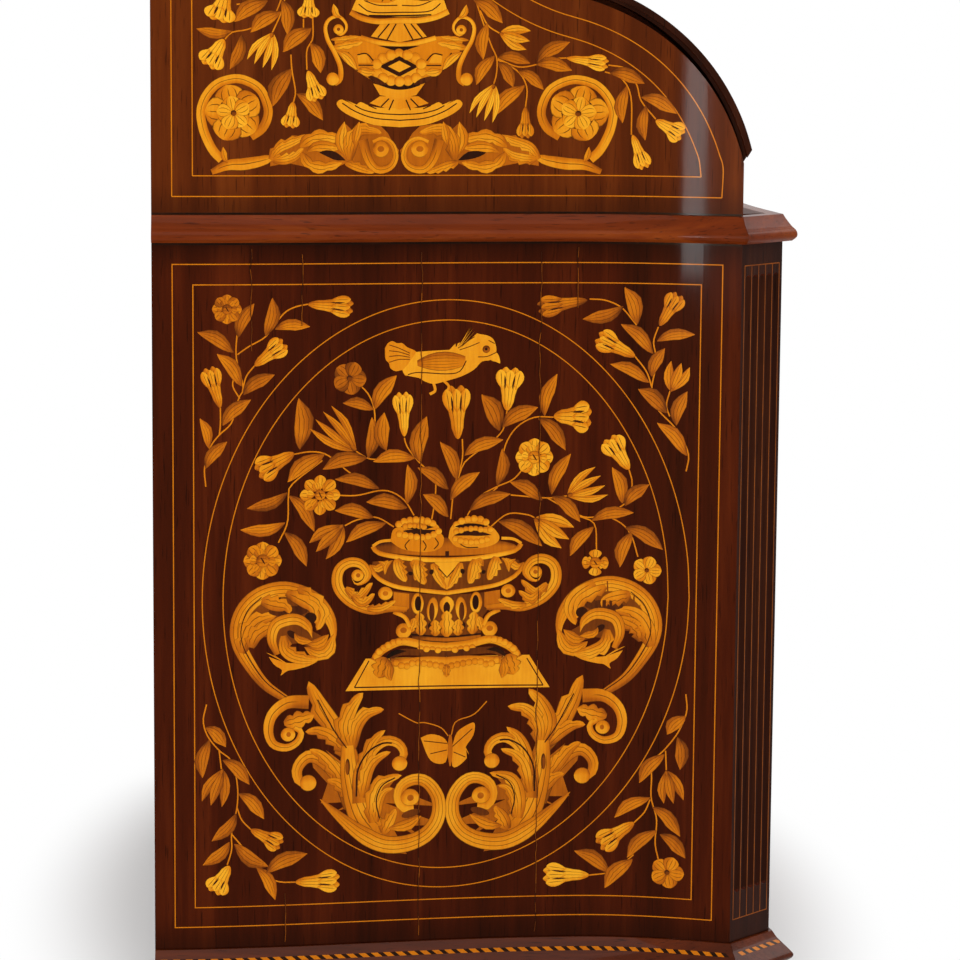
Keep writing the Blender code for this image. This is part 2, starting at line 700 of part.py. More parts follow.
def make_fall():
    """The fall: a bent shell, a framed flat inside and its writing leather."""
    outer = shell_out(FALL_SHELL)
    inner = shell_out(0.0)
    start = HINGE_GAP
    end = FALL_SPAN - FALL_END_GAP
    spans = fall_spans(start, end)
    section = [from_fall(s, outer(s)) for s in spans]
    section += [from_fall(s, inner(s)) for s in reversed(spans)]
    reach = WIDTH / 2 + CANT
    shell = section_piece("fall_shell", section, (-reach, reach), MAHOGANY)
    rear = SIDE_DEPTH - OGEE_RUN - CANT
    fore = SIDE_DEPTH + CANT / 2
    side = side_line(rear, fore, LIP_PROUD)
    height = (WAIST_TOP, CHEEK_TOP + CANT)
    modify(shell, "INTERSECT", plan_piece("fall_plan", side + mirrored(side), height))
    spans = fall_spans(FRAME_START, end)
    section = [from_fall(s, inner(s) - JOINT_GAP) for s in spans]
    section += [from_fall(end, 0.0), from_fall(FRAME_START, 0.0)]
    half = INNER_X - FALL_SIDE_GAP
    frame = section_piece("fall_frame", section, (-half, half), MAHOGANY)
    for word, side in (("left", -1), ("right", 1)):
        across = sorted((side * FRAME_RIB / 2, side * (half - FRAME_RIB)))
        deep = (FRAME_FACE, CHEEK_RISE / 2)
        pocket = fall_box(f"{word}_frame_pocket", across, (FRAME_RAIL, end - FRAME_RAIL), deep)
        modify(frame, "DIFFERENCE", pocket)
    across = half - LEATHER_MARGIN_X
    low = LEATHER_MARGIN_LOW
    high = end - LEATHER_MARGIN_HIGH
    leather = fall_box("writing_leather", (-across, across), (low, high), (0.0, LEATHER), HIDE)
    gap = JOINT_GAP
    recess = fall_box(
        "leather_recess", (-across - gap, across + gap), (low - gap, high + gap), (-CANT, LEATHER + gap)
    )
    modify(frame, "DIFFERENCE", recess)
    return shell, frame, leather


def turned_box(name, low, high, turned, look=None):
    """A rectangular piece between two corners of a turned frame."""
    bm = bmesh.new()
    bmesh.ops.create_cube(bm, size=1.0)
    low, high = Vector(low), Vector(high)
    bmesh.ops.scale(bm, vec=high - low, verts=bm.verts)
    bmesh.ops.translate(bm, vec=(low + high) / 2, verts=bm.verts)
    bmesh.ops.transform(bm, matrix=turned, verts=bm.verts)
    return piece(name, mesh_of(bm, name), look)


def hinge_leaf(name, x, knuckles, turned):
    """A hinge leaf: a plate let into the wood, with a tab out to each of its knuckles."""
    clear = KNUCKLE_RADIUS + 2 * HINGE_GAP
    leaf = turned_box(name, (x[0], clear, -HINGE_PLATE), (x[1], HINGE_LEAF, 0.0), turned, BRASS)
    for k, (start, stop) in enumerate(knuckles):
        low = (start + HINGE_GAP, -PIN_RADIUS, HINGE_GAP - HINGE_PLATE)
        high = (stop - HINGE_GAP, clear + HINGE_PLATE, -HINGE_GAP)
        modify(leaf, "UNION", turned_box(f"{name}_tab_{k + 1}", low, high, turned))
        across = sorted((turned @ Vector((end, 0, 0))).x for end in (start, stop))
        knuckle = cylinder(f"{name}_knuckle_{k + 1}", KNUCKLE_RADIUS, across, (SIDE_DEPTH, HINGE_Z))
        modify(leaf, "UNION", knuckle)
    return leaf


def hinge_mortise(name, x, turned):
    """The hollow that a hinge leaf is let into."""
    low = (x[0] - HINGE_GAP, 0.0, -HINGE_PLATE - HINGE_GAP)
    return turned_box(name, low, (x[1] + HINGE_GAP, HINGE_LEAF + HINGE_GAP, CANT), turned)


def make_hinges(bed, frame, shell):
    """Two butt hinges let into the bed and the fall, with their pins on the fall's axis."""
    on_bed = Matrix.Translation((0, world_y(SIDE_DEPTH), HINGE_Z))
    lean = Matrix.Rotation(pi / 2 - FALL_LEAN, 4, "X")
    on_fall = on_bed @ lean @ Matrix.Rotation(pi, 4, "Y")
    third = HINGE_LENGTH / 3
    axis = (SIDE_DEPTH, HINGE_Z)
    lid_leaves = []
    for side in (-1, 1):
        word = side_name(side)
        middle = side * HINGE_X
        span = (middle - HINGE_LENGTH / 2, middle + HINGE_LENGTH / 2)
        inner = (span[0] + third, span[1] - third)
        ends = ((span[0], inner[0] - HINGE_GAP), (inner[1] + HINGE_GAP, span[1]))
        bed_leaf = hinge_leaf(f"{word}_hinge_bed_leaf", span, ends, on_bed)
        pin = (span[0] + third / 2, span[1] - third / 2)
        modify(bed_leaf, "UNION", cylinder(f"{word}_hinge_pin", PIN_RADIUS, pin, axis))
        flipped = (-span[1], -span[0])
        lid_leaf = hinge_leaf(f"{word}_hinge_lid_leaf", flipped, ((-inner[1], -inner[0]),), on_fall)
        modify(lid_leaf, "DIFFERENCE", cylinder(f"{word}_pin_bore", PIN_RADIUS + HINGE_GAP, span, axis))
        clear = (span[0] - HINGE_GAP, span[1] + HINGE_GAP)
        groove = cylinder(f"{word}_knuckle_groove", KNUCKLE_RADIUS + HINGE_GAP, clear, axis)
        for wood in (bed, shell, frame):
            modify(wood, "DIFFERENCE", groove)
        modify(bed, "DIFFERENCE", hinge_mortise(f"{word}_bed_mortise", span, on_bed))
        modify(frame, "DIFFERENCE", hinge_mortise(f"{word}_lid_mortise", flipped, on_fall))
        lid_leaves.append(lid_leaf)
    return lid_leaves


def make_nest():
    """Partitions, shelves and small drawers of the fitted interior."""
    floor = HINGE_Z + JOINT_GAP
    roof = CHEEK_TOP - JOINT_GAP
    depth = (INSIDE_REAR, NEST_DEPTH)
    shelf_z = HINGE_Z + NEST_DRAWER_HEIGHT + 2 * NEST_CLEARANCE
    for side in (-1, 1):
        word = side_name(side)
        inner = NEST_BAY / 2
        wall = sorted((side * inner, side * (inner + NEST_BOARD)))
        box(f"{word}_nest_partition", wall, depth, (floor, roof), MAHOGANY)
        bay = (inner + NEST_BOARD + JOINT_GAP, INNER_X - JOINT_GAP)
        across = sorted((side * bay[0], side * bay[1]))
        box(f"{word}_nest_shelf", across, depth, (shelf_z, shelf_z + NEST_BOARD), MAHOGANY)
        low, high = across[0] + NEST_CLEARANCE, across[1] - NEST_CLEARANCE
        z = (HINGE_Z + NEST_CLEARANCE / 2, HINGE_Z + NEST_DRAWER_HEIGHT)
        drawer_depth = (INSIDE_REAR + NEST_CLEARANCE, NEST_DEPTH)
        drawer = box(f"{word}_nest_drawer", (low, high), drawer_depth, z, MAHOGANY)
        hollow = box(
            f"{word}_nest_hollow",
            (low + NEST_WALL, high - NEST_WALL),
            (drawer_depth[0] + NEST_WALL, drawer_depth[1] - NEST_WALL),
            (z[0] + NEST_WALL, z[1] + NEST_DRAWER_HEIGHT),
        )
        modify(drawer, "DIFFERENCE", hollow)
        mark = ((low + high) / 2, world_y(NEST_DEPTH), z[0])
        carry(joint_mark(f"{word}_nest_drawer_slide", mark), drawer)


def make_lopers():
    """Slides that pull out beside the top drawer to carry the open fall, and the boards that guide them."""
    outer = INNER_X - SLIDE_GAP
    inner = outer - LOPER_WIDTH
    guide = inner - SLIDE_GAP
    z = (UPPER_TIER + JOINT_GAP, CASE_TOP - JOINT_GAP)
    for side in (-1, 1):
        word = side_name(side)
        front = front_line(outer, inner)
        loper = [(inner, LOPER_REAR), (outer, LOPER_REAR)] + front
        slide = plan_piece(f"{word}_loper", sided(loper, side), z, MAHOGANY)
        mark = (side * (outer + inner) / 2, world_y(front_depth(inner)), CASE_TOP)
        carry(joint_mark(f"{word}_loper_slide", mark), slide)
        board = [(guide - LOPER_GUIDE, LOPER_GUIDE_REAR), (guide, LOPER_GUIDE_REAR)]
        board += front_line(guide, guide - LOPER_GUIDE)
        plan_piece(f"{word}_loper_guide", sided(board, side), z, MAHOGANY)
    return guide - LOPER_GUIDE


def make_drawer(word, half, low, high):
    """One drawer: serpentine front, box and two pulls."""
    face = half - SLIDE_GAP
    z = (low + SLIDE_GAP, high - SLIDE_GAP)
    outline = front_line(-face, face) + [(face, DRAWER_FRONT_BACK), (-face, DRAWER_FRONT_BACK)]
    front = plan_piece(f"{word}_drawer_front", outline, z, MAHOGANY)
    across = half - BOX_GAP
    rear = DRAWER_FRONT_BACK - JOINT_GAP
    box_z = (low + JOINT_GAP, high - DRAWER_HEADROOM)
    case = box(f"{word}_drawer_box", (-across, across), (DRAWER_REAR, rear), box_z, OAK)
    hollow = box(
        f"{word}_drawer_hollow",
        (-across + DRAWER_SIDE, across - DRAWER_SIDE),
        (DRAWER_REAR + DRAWER_SIDE, rear - DRAWER_SIDE),
        (box_z[0] + DRAWER_BOTTOM, box_z[1] + DRAWER_HEADROOM),
    )
    modify(case, "DIFFERENCE", hollow)
    mark = joint_mark(f"{word}_drawer_slide", (0, world_y(front_depth(0)), z[0]))
    carry(mark, front, case)
    for side in (-1, 1):
        make_pull(f"{word}_{side_name(side)}", side * FRONT_HOLLOW_X, (z[0] + z[1]) / 2, mark)


def make_pull(word, x, z, drawer_mark):
    """A brass plate with two posts, and the bail that swings in them."""
    seat = max(front_depth(x - PLATE_WIDTH / 2), front_depth(x + PLATE_WIDTH / 2)) + JOINT_GAP
    oval = []
    for k in range(PLATE_FACETS):
        angle = 2 * pi * k / PLATE_FACETS
        oval.append((PLATE_WIDTH / 2 * cos(angle), PLATE_HEIGHT / 2 * sin(angle)))
    upright = Matrix.Translation((x, world_y(seat), z)) @ Matrix.Rotation(pi / 2, 4, "X")
    blank = flat_mesh("plate", oval, 0.0, PLATE_THICKNESS, upright)
    plate = piece(f"{word}_pull_plate", blank, BRASS)
    axis = (seat + PLATE_THICKNESS + BAIL_AXIS_OUT, z + BAIL_AXIS_UP)
    for k, way in enumerate((-1, 1)):
        bm = bmesh.new()
        bmesh.ops.create_cone(
            bm,
            cap_ends=True,
            segments=POST_FACETS,
            radius1=POST_RADIUS,
            radius2=POST_TIP_RADIUS,
            depth=POST_LENGTH,
        )
        bmesh.ops.rotate(bm, cent=(0, 0, 0), matrix=Matrix.Rotation(pi / 2, 3, "X"), verts=bm.verts)
        out = seat + PLATE_THICKNESS / 2 + POST_LENGTH / 2
        place = (x + way * POST_SPACING / 2, world_y(out), axis[1])
        bmesh.ops.translate(bm, vec=place, verts=bm.verts)
        modify(plate, "UNION", piece(f"{word}_post_{k + 1}", mesh_of(bm, "post")))
    across = (x - POST_SPACING, x + POST_SPACING)
    bore = cylinder(f"{word}_post_bore", BAIL_RADIUS + BAIL_RUNNING_GAP, across, axis, facets=POST_FACETS)
    modify(plate, "DIFFERENCE", bore)
    mark = joint_mark(f"{word}_bail_pivot", (x, world_y(axis[0]), axis[1]))
    bail = make_bail(f"{word}_bail", mark)
    carry(drawer_mark, plate, mark)
    return bail


def make_bail(name, mark):
    """A bent brass bail hanging from its pivot."""
    curve = bpy.data.curves.new(name, "CURVE")
    curve.dimensions = "3D"
    curve.bevel_depth = BAIL_RADIUS
    curve.bevel_resolution = 2
    curve.use_fill_caps = True
    arm = POST_SPACING / 2 + BAIL_REACH
    pin = POST_SPACING / 2 - POST_TIP_RADIUS
    bend = arm - BAIL_ELBOW
    half = [(pin, 0.0), (bend, 0.0)]
    for k in range(1, BAIL_ELBOW_STEPS + 1):
        turn = pi / 2 * k / BAIL_ELBOW_STEPS
        half.append((bend + BAIL_ELBOW * sin(turn), -BAIL_ELBOW * (1 - cos(turn))))
    for k in range(1, BAIL_GRIP_STEPS + 1):
        turn = pi / 2 * k / BAIL_GRIP_STEPS
        across = arm * cos(turn) ** BAIL_CURVE[0]
        down = BAIL_ARM + (BAIL_DROP - BAIL_ARM) * sin(turn) ** BAIL_CURVE[1]
        half.append((across, -down))
    half[-1] = (0.0, -BAIL_DROP)
    path = half + [(-x, z) for x, z in reversed(half[:-1])]
    spline = curve.splines.new("POLY")
    spline.points.add(len(path) - 1)
    for point, (x, z) in zip(spline.points, path):
        point.co = (x, 0.0, z, 1.0)
    bail = bpy.data.objects.new(name, curve)
    curve.materials.append(material(BRASS))
    PARTS.objects.link(bail)
    bail.parent = mark
    return bail


def main():
    """Builds the secretary from the ground up."""
    make_case()
    make_mouldings()
    make_feet()
    make_cheeks()
    make_top()
    bed = make_bed()
    shell, frame, leather = make_fall()
    lid_leaves = make_hinges(bed, frame, shell)
    pivot = joint_mark("fall_pivot", (0, world_y(SIDE_DEPTH), HINGE_Z))
    carry(pivot, shell, frame, leather, *lid_leaves)
    make_nest()
    top_half = make_lopers()
    make_drawer("top", top_half, UPPER_TIER, CASE_TOP)
    make_drawer("middle", INNER_X, MIDDLE_TIER, UPPER_TIER - BOARD)
    make_drawer("bottom", INNER_X, LOWER_TIER, MIDDLE_TIER - BOARD)


main()
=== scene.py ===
"""Looks of the fall-front secretary: polished mahogany with floral marquetry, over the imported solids."""

import json
import logging
from collections.abc import Callable, Iterable, Sequence
from dataclasses import dataclass
from enum import Enum
from itertools import pairwise
from math import ceil, cos, pi, radians, sin, sqrt

import bmesh
import bpy
import numpy as np
from bmesh.types import BMesh, BMFace, BMVert
from mathutils import Matrix, Vector
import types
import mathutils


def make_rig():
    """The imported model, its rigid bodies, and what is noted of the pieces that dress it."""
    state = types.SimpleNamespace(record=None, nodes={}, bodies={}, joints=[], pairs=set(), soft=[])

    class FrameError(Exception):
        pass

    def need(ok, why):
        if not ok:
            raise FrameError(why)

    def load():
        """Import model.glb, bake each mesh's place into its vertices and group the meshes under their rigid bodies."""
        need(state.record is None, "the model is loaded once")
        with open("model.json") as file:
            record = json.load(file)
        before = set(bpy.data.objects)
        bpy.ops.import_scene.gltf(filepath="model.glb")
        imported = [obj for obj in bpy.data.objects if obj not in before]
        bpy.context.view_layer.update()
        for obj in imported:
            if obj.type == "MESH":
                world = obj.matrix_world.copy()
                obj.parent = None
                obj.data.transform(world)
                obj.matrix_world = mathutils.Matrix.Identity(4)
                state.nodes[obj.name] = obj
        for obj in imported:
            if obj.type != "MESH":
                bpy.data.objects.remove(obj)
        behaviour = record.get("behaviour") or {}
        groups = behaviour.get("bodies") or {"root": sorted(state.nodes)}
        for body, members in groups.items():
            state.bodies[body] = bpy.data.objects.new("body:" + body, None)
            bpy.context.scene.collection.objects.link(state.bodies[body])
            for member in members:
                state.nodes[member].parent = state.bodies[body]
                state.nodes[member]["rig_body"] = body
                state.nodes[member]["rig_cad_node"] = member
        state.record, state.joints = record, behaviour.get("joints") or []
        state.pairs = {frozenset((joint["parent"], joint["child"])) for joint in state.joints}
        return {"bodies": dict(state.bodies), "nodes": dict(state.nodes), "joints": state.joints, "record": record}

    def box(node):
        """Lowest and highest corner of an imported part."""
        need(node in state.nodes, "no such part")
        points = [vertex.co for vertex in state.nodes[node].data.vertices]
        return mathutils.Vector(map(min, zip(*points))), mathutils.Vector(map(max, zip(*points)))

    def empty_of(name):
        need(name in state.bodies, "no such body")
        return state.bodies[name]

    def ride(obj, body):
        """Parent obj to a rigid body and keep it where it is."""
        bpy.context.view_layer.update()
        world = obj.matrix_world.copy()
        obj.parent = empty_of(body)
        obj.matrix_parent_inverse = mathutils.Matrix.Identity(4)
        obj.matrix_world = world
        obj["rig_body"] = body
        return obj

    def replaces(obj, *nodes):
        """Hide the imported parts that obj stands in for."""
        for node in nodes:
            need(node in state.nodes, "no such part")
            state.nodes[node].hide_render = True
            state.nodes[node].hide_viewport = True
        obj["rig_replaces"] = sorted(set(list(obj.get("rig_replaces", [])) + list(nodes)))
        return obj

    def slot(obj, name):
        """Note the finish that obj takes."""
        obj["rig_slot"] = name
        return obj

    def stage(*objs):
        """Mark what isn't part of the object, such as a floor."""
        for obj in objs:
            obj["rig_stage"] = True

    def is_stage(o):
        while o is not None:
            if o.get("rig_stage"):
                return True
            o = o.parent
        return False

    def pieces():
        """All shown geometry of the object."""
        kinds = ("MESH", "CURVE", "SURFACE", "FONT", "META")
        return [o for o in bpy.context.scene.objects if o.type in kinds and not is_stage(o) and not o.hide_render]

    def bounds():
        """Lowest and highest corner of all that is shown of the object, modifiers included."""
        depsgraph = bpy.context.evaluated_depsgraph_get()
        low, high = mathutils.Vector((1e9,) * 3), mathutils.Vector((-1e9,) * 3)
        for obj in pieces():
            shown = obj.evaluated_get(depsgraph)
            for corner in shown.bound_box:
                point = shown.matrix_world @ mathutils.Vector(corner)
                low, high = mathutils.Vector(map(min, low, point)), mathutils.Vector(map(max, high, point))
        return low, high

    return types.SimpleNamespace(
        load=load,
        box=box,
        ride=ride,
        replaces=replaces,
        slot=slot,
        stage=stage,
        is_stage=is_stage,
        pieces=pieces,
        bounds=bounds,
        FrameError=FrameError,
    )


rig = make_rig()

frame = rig.load()
CAD_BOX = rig.bounds()

log = logging.getLogger("secretary")
Point = tuple[float, float]
Points = tuple[Point, ...]
Spot = Colour = tuple[float, float, float]
Station = tuple[Vector, Vector]
AHEAD, UP = Vector((0, -1, 0)), Vector((0, 0, 1))
MM = 0.001
GAP = 0.0003
SLOPE_STEP = 1e-5
DRAWERS = ("top", "middle", "bottom")


# Shader kit


class Wire:
    """A shader socket that takes part in Python sums, each adding a Math node."""

    def __init__(self, recipe: "Recipe", socket: bpy.types.NodeSocket | None) -> None:
        """Hold a socket and the recipe that it belongs to."""
        self.recipe = recipe
        self.socket = socket

    def math(self, operation: str, *values: "Wire | float") -> "Wire":
        """The result of a Math node for an operation and its inputs, in order."""
        return self.recipe.node("ShaderNodeMath", dict(enumerate(values)), operation=operation)

    def __add__(self, other: "Wire | float") -> "Wire":
        """The sum."""
        return self.math("ADD", self, other)

    __radd__ = __add__

    def __sub__(self, other: "Wire | float") -> "Wire":
        """The difference."""
        return self.math("SUBTRACT", self, other)

    def __rsub__(self, other: float) -> "Wire":
        """The difference the other way round."""
        return self.math("SUBTRACT", other, self)

    def __mul__(self, other: "Wire | float") -> "Wire":
        """The product."""
        return self.math("MULTIPLY", self, other)

    def __abs__(self) -> "Wire":
        """The size without its sign."""
        return self.math("ABSOLUTE", self)

    def __mod__(self, other: float) -> "Wire":
        """The part left over, wrapped from 0 to other."""
        return self.math("WRAP", self, other, 0.0)

    def most(self, other: "Wire | float") -> "Wire":
        """The larger of the two."""
        return self.math("MAXIMUM", self, other)

    def least(self, other: "Wire | float") -> "Wire":
        """The smaller of the two."""
        return self.math("MINIMUM", self, other)


Input = Wire | float | tuple[float, ...]


class Recipe:
    """The nodes of a material or of the world while they are laid out."""

    def __init__(self, owner: bpy.types.Material | bpy.types.World) -> None:
        """Start with no nodes.

        Args:
            owner: What the nodes belong to.
        """
        self.owner = owner
        owner.use_nodes = True
        self.tree = owner.node_tree
        self.tree.nodes.clear()

    def node(
        self, kind: str, sockets: dict[str | int, Input] | None = None, out: str | int = 0, **settings: object
    ) -> Wire:
        """Add any node.

        Args:
            kind: The node's type.
            sockets: Values or links of its inputs.
            out: The output wanted.
            settings: Its settings, set before its inputs.

        Returns:
            That output.
        """
        node = self.tree.nodes.new(kind)
        for key, value in settings.items():
            setattr(node, key, value)
        for key, value in (sockets or {}).items():
            if isinstance(value, Wire):
                self.tree.links.new(value.socket, node.inputs[key])
            else:
                node.inputs[key].default_value = value
        return Wire(self, node.outputs[out] if node.outputs else None)

    def place(self, scale: Spot = (1.0, 1.0, 1.0)) -> Wire:
        """Object coordinates, stretched by scale."""
        where = self.node("ShaderNodeTexCoord", out="Object")
        return self.node("ShaderNodeMapping", {"Vector": where, "Scale": scale})

    def noise(self, where: Wire, scale: float, detail: float = 3.0, bend: float = 0.0) -> Wire:
        """A noise value about 0.5, by its blots to the unit, its octaves and its distortion."""
        sockets = {"Vector": where, "Scale": scale, "Detail": detail, "Distortion": bend}
        return self.node("ShaderNodeTexNoise", sockets)

    def attribute(self, name: str) -> Wire:
        """A float attribute of the piece."""
        return self.node("ShaderNodeAttribute", out="Fac", attribute_name=name)

    def ease(self, value: Wire, low: float, high: float) -> Wire:
        """0 below low, 1 above high and smooth between, or the reverse where low is above high."""
        sockets = {"Value": value, "From Min": low, "From Max": high}
        return self.node("ShaderNodeMapRange", sockets, interpolation_type="SMOOTHSTEP")

    def ramp(self, value: Wire, stops: Sequence[tuple[float, Colour]]) -> Wire:
        """A colour read from stops.

        Args:
            value: The place on the ramp.
            stops: Places from 0 to 1, in order, each with its colour.

        Returns:
            The colour.
        """
        colour = self.node("ShaderNodeValToRGB", {"Fac": value})
        ends = colour.socket.node.color_ramp.elements
        for end, (place, shade) in zip(ends, (stops[0], stops[-1])):
            end.position, end.color = place, (*shade, 1)
        for place, shade in stops[1:-1]:
            ends.new(place).color = (*shade, 1)
        return colour

    def mix(self, share: Input, first: Input, second: Input, blend: str = "MIX") -> Wire:
        """A mix of two colours, by the share of the second."""
        colours = {k: v if isinstance(v, Wire) else (*v, 1) for k, v in ((6, first), (7, second))}
        return self.node("ShaderNodeMix", {0: share, **colours}, 2, data_type="RGBA", blend_type=blend)

    def bump(self, height: Wire, strength: float, distance: float) -> Wire:
        """A normal from a height."""
        sockets = {"Height": height, "Strength": strength, "Distance": distance}
        return self.node("ShaderNodeBump", sockets)

    def shown(self) -> Wire:
        """Whether a thing is seen, and doesn't only give light.

        Returns:
            1 for rays from the camera, a reflection or a see-through piece, and 0 for others.
        """
        kinds = ("Camera", "Glossy", "Transmission")
        camera, glossy, through = (self.node("ShaderNodeLightPath", out=f"Is {k} Ray") for k in kinds)
        return camera.most(glossy).most(through)


def paint(red: int, green: int, blue: int) -> Colour:
    """A screen colour from 0 to 255 as light."""
    shares = (red / 255, green / 255, blue / 255)
    return tuple(v / 12.92 if v <= 0.04045 else ((v + 0.055) / 1.055) ** 2.4 for v in shares)


# Finishes


class Grain(Enum):
    """Which way the wood runs, as stretches of the pattern along x, y and z."""

    UPRIGHT = (1.0, 1.0, 0.055)
    ACROSS = (0.055, 1.0, 1.0)
    FORE_AFT = (1.0, 0.055, 1.0)


@dataclass(frozen=True)
class Finish:
    """A finish, whose material is made the first time that it is asked for."""

    name: str

    def material(self) -> bpy.types.Material:
        """The finish's material.

        Returns:
            The material, closed with a principled shader.
        """
        made = bpy.data.materials.get(self.name)
        if made is None:
            made = bpy.data.materials.new(self.name)
            recipe = Recipe(made)
            shader = recipe.node("ShaderNodeBsdfPrincipled", self.lay_out(recipe))
            recipe.node("ShaderNodeOutputMaterial", {"Surface": shader})
        return made

    def lay_out(self, recipe: Recipe) -> dict[str, Input]:
        """Lay out the nodes, which each finish does in its own way."""
        raise NotImplementedError


@dataclass(frozen=True)
class Wood(Finish):
    """Polished or plain wood with figure, streaks and pores, and painted shade near given heights."""

    deep: Colour
    body: Colour
    light: Colour
    grain: Grain
    roughness: float = 0.34
    coat: float = 0.045
    figure: float = 0.6
    # Heights in metres near which the veneer is painted darker: painted shade where a moulding meets it.
    grime: tuple[float, ...] = ()

    def lay_out(self, recipe: Recipe) -> dict[str, Input]:
        """Lay out the nodes.

        Args:
            recipe: Where they go.

        Returns:
            The shader's inputs.
        """
        where = recipe.place(self.grain.value)
        cloud = recipe.noise(where, 5.5, 3.0, 0.4)
        streak = recipe.noise(where, 46.0, 4.0, 0.25)
        fibre = recipe.noise(where, 260.0, 2.0)
        pore = recipe.noise(where, 620.0, 1.0)
        even = 0.225 + 0.375 * (self.figure - 1)
        tone = cloud * (0.75 * self.figure) + streak * 0.52 + fibre * 0.18 - even
        colour = recipe.ramp(tone, ((0.22, self.deep), (0.52, self.body), (0.86, self.light)))
        pores = recipe.ease(pore, 0.62, 0.74)
        colour = recipe.mix(pores * 0.55, colour, tuple(c * 0.35 for c in self.deep))
        spot = recipe.place()
        sockets = {0: spot, 1: (0, 0, 1)}
        level = recipe.node("ShaderNodeVectorMath", sockets, "Value", operation="DOT_PRODUCT")
        # Painted shade: darker within 34 mm of each height.
        for edge in self.grime:
            colour = recipe.mix(recipe.ease(abs(level - edge), 0.034, 0.0) * 0.5, colour, self.deep)
        bloom = recipe.noise(spot, 3.0, 4.0)
        rough = self.roughness + bloom * 0.12 + fibre * 0.08 - 0.08
        height = fibre * 0.5 - pores
        return {
            "Base Color": colour,
            "Roughness": rough,
            "Normal": recipe.bump(height, 0.12, 0.0004),
            "Specular IOR Level": 0.03,
            "Specular Tint": (1.0, 0.4, 0.15, 1.0),
            "Coat Weight": self.coat,
            "Coat Roughness": 0.06,
        }


@dataclass(frozen=True)
class Inlay(Finish):
    """Cut and scorched veneers, read from each plate's own attributes."""

    name: str = "marquetry_veneer"
    scale: tuple[tuple[float, Colour], ...] = (
        (0.0, paint(16, 6, 3)),
        (0.20, paint(58, 22, 7)),
        (0.40, paint(118, 56, 8)),
        (0.58, paint(170, 88, 10)),
        (0.76, paint(202, 116, 12)),
        (1.0, paint(228, 158, 32)),
    )
    burnt: Colour = paint(40, 15, 4)

    def lay_out(self, recipe: Recipe) -> dict[str, Input]:
        """Lay out the nodes.

        Args:
            recipe: Where they go.

        Returns:
            The shader's inputs.
        """
        along, across = recipe.attribute("along"), recipe.attribute("across")
        tone, cuts = recipe.attribute("tone"), recipe.attribute("cuts")
        where = recipe.place((1.0, 1.0, 0.12))
        grain = recipe.noise(where, 420.0, 3.0)
        cloud = recipe.noise(recipe.place(), 34.0, 3.0)
        edge = recipe.ease(across, -0.1, 1.0)
        foot = recipe.ease(along, 0.34, 0.0)
        scorch = (edge * 0.20 + foot * 0.20).least(0.34) * recipe.ease(cuts, 0.2, 0.8)
        value = tone - scorch + grain * 0.16 + cloud * 0.26 - 0.19
        colour = recipe.ramp(value, self.scale)
        wander = recipe.noise(recipe.place(), 120.0, 2.0) * 0.5 - 0.25
        rows = (across * 0.5 + 0.5) * cuts + wander * 0.35
        line = recipe.ease(abs(rows % 1.0 - 0.5), 0.40, 0.475)
        kept = recipe.ease(along, 0.06, 0.16) * recipe.ease(along, 0.96, 0.74)
        line = line * kept * recipe.ease(cuts, 1.2, 1.8)
        rim = recipe.ease(abs(across), 0.88, 0.97) * recipe.ease(cuts, 0.2, 0.8)
        colour = recipe.mix((line * 0.85).most(rim * 0.55), colour, self.burnt)
        return {
            "Base Color": colour,
            "Roughness": 0.26 + cloud * 0.12,
            "Normal": recipe.bump(grain * 0.4 - line, 0.10, 0.0003),
            "Specular IOR Level": 0.06,
            "Specular Tint": (1.0, 0.6, 0.3, 1.0),
            "Coat Weight": 0.05,
            "Coat Roughness": 0.07,
        }


@dataclass(frozen=True)
class Brass(Finish):
    """Lacquered old brass, dull in its hollows."""

    name: str = "aged_brass"
    bright: Colour = paint(214, 168, 84)
    dull: Colour = paint(122, 84, 38)

    def lay_out(self, recipe: Recipe) -> dict[str, Input]:
        """Lay out the nodes.

        Args:
            recipe: Where they go.

        Returns:
            The shader's inputs.
        """
        where = recipe.place()
        cloud = recipe.noise(where, 70.0, 4.0)
        speck = recipe.noise(where, 520.0, 2.0)
        hollow = recipe.node("ShaderNodeNewGeometry", out="Pointiness")
        worn = recipe.ease(hollow, 0.46, 0.54)
        share = (recipe.ease(cloud, 0.32, 0.66) * 0.6 + worn * 0.4).least(1.0)
        colour = recipe.mix(share, self.dull, self.bright)
        return {
            "Base Color": colour,
            "Metallic": 1.0,
            "Roughness": 0.44 - share * 0.20 + speck * 0.10,
            "Normal": recipe.bump(cloud * 0.6 + speck * 0.4, 0.06, 0.0005),
        }


@dataclass(frozen=True)
class Hide(Finish):
    """Writing leather with a fine pebble and a cloudy tone."""

    name: str = "writing_hide"
    deep: Colour = paint(38, 46, 30)
    light: Colour = paint(74, 82, 52)

    def lay_out(self, recipe: Recipe) -> dict[str, Input]:
        """Lay out the nodes.

        Args:
            recipe: Where they go.

        Returns:
            The shader's inputs.
        """
        where = recipe.place()
        cloud = recipe.noise(where, 9.0, 5.0)
        pebble = recipe.node("ShaderNodeTexVoronoi", {"Vector": where, "Scale": 900.0})
        colour = recipe.mix(recipe.ease(cloud, 0.3, 0.72), self.deep, self.light)
        colour = recipe.mix(recipe.ease(pebble, 0.55, 0.9) * 0.5, colour, tuple(c * 0.5 for c in self.deep))
        return {
            "Base Color": colour,
            "Roughness": 0.42 + cloud * 0.2,
            "Normal": recipe.bump(pebble, 0.25, 0.0004),
            "Specular IOR Level": 0.35,
        }


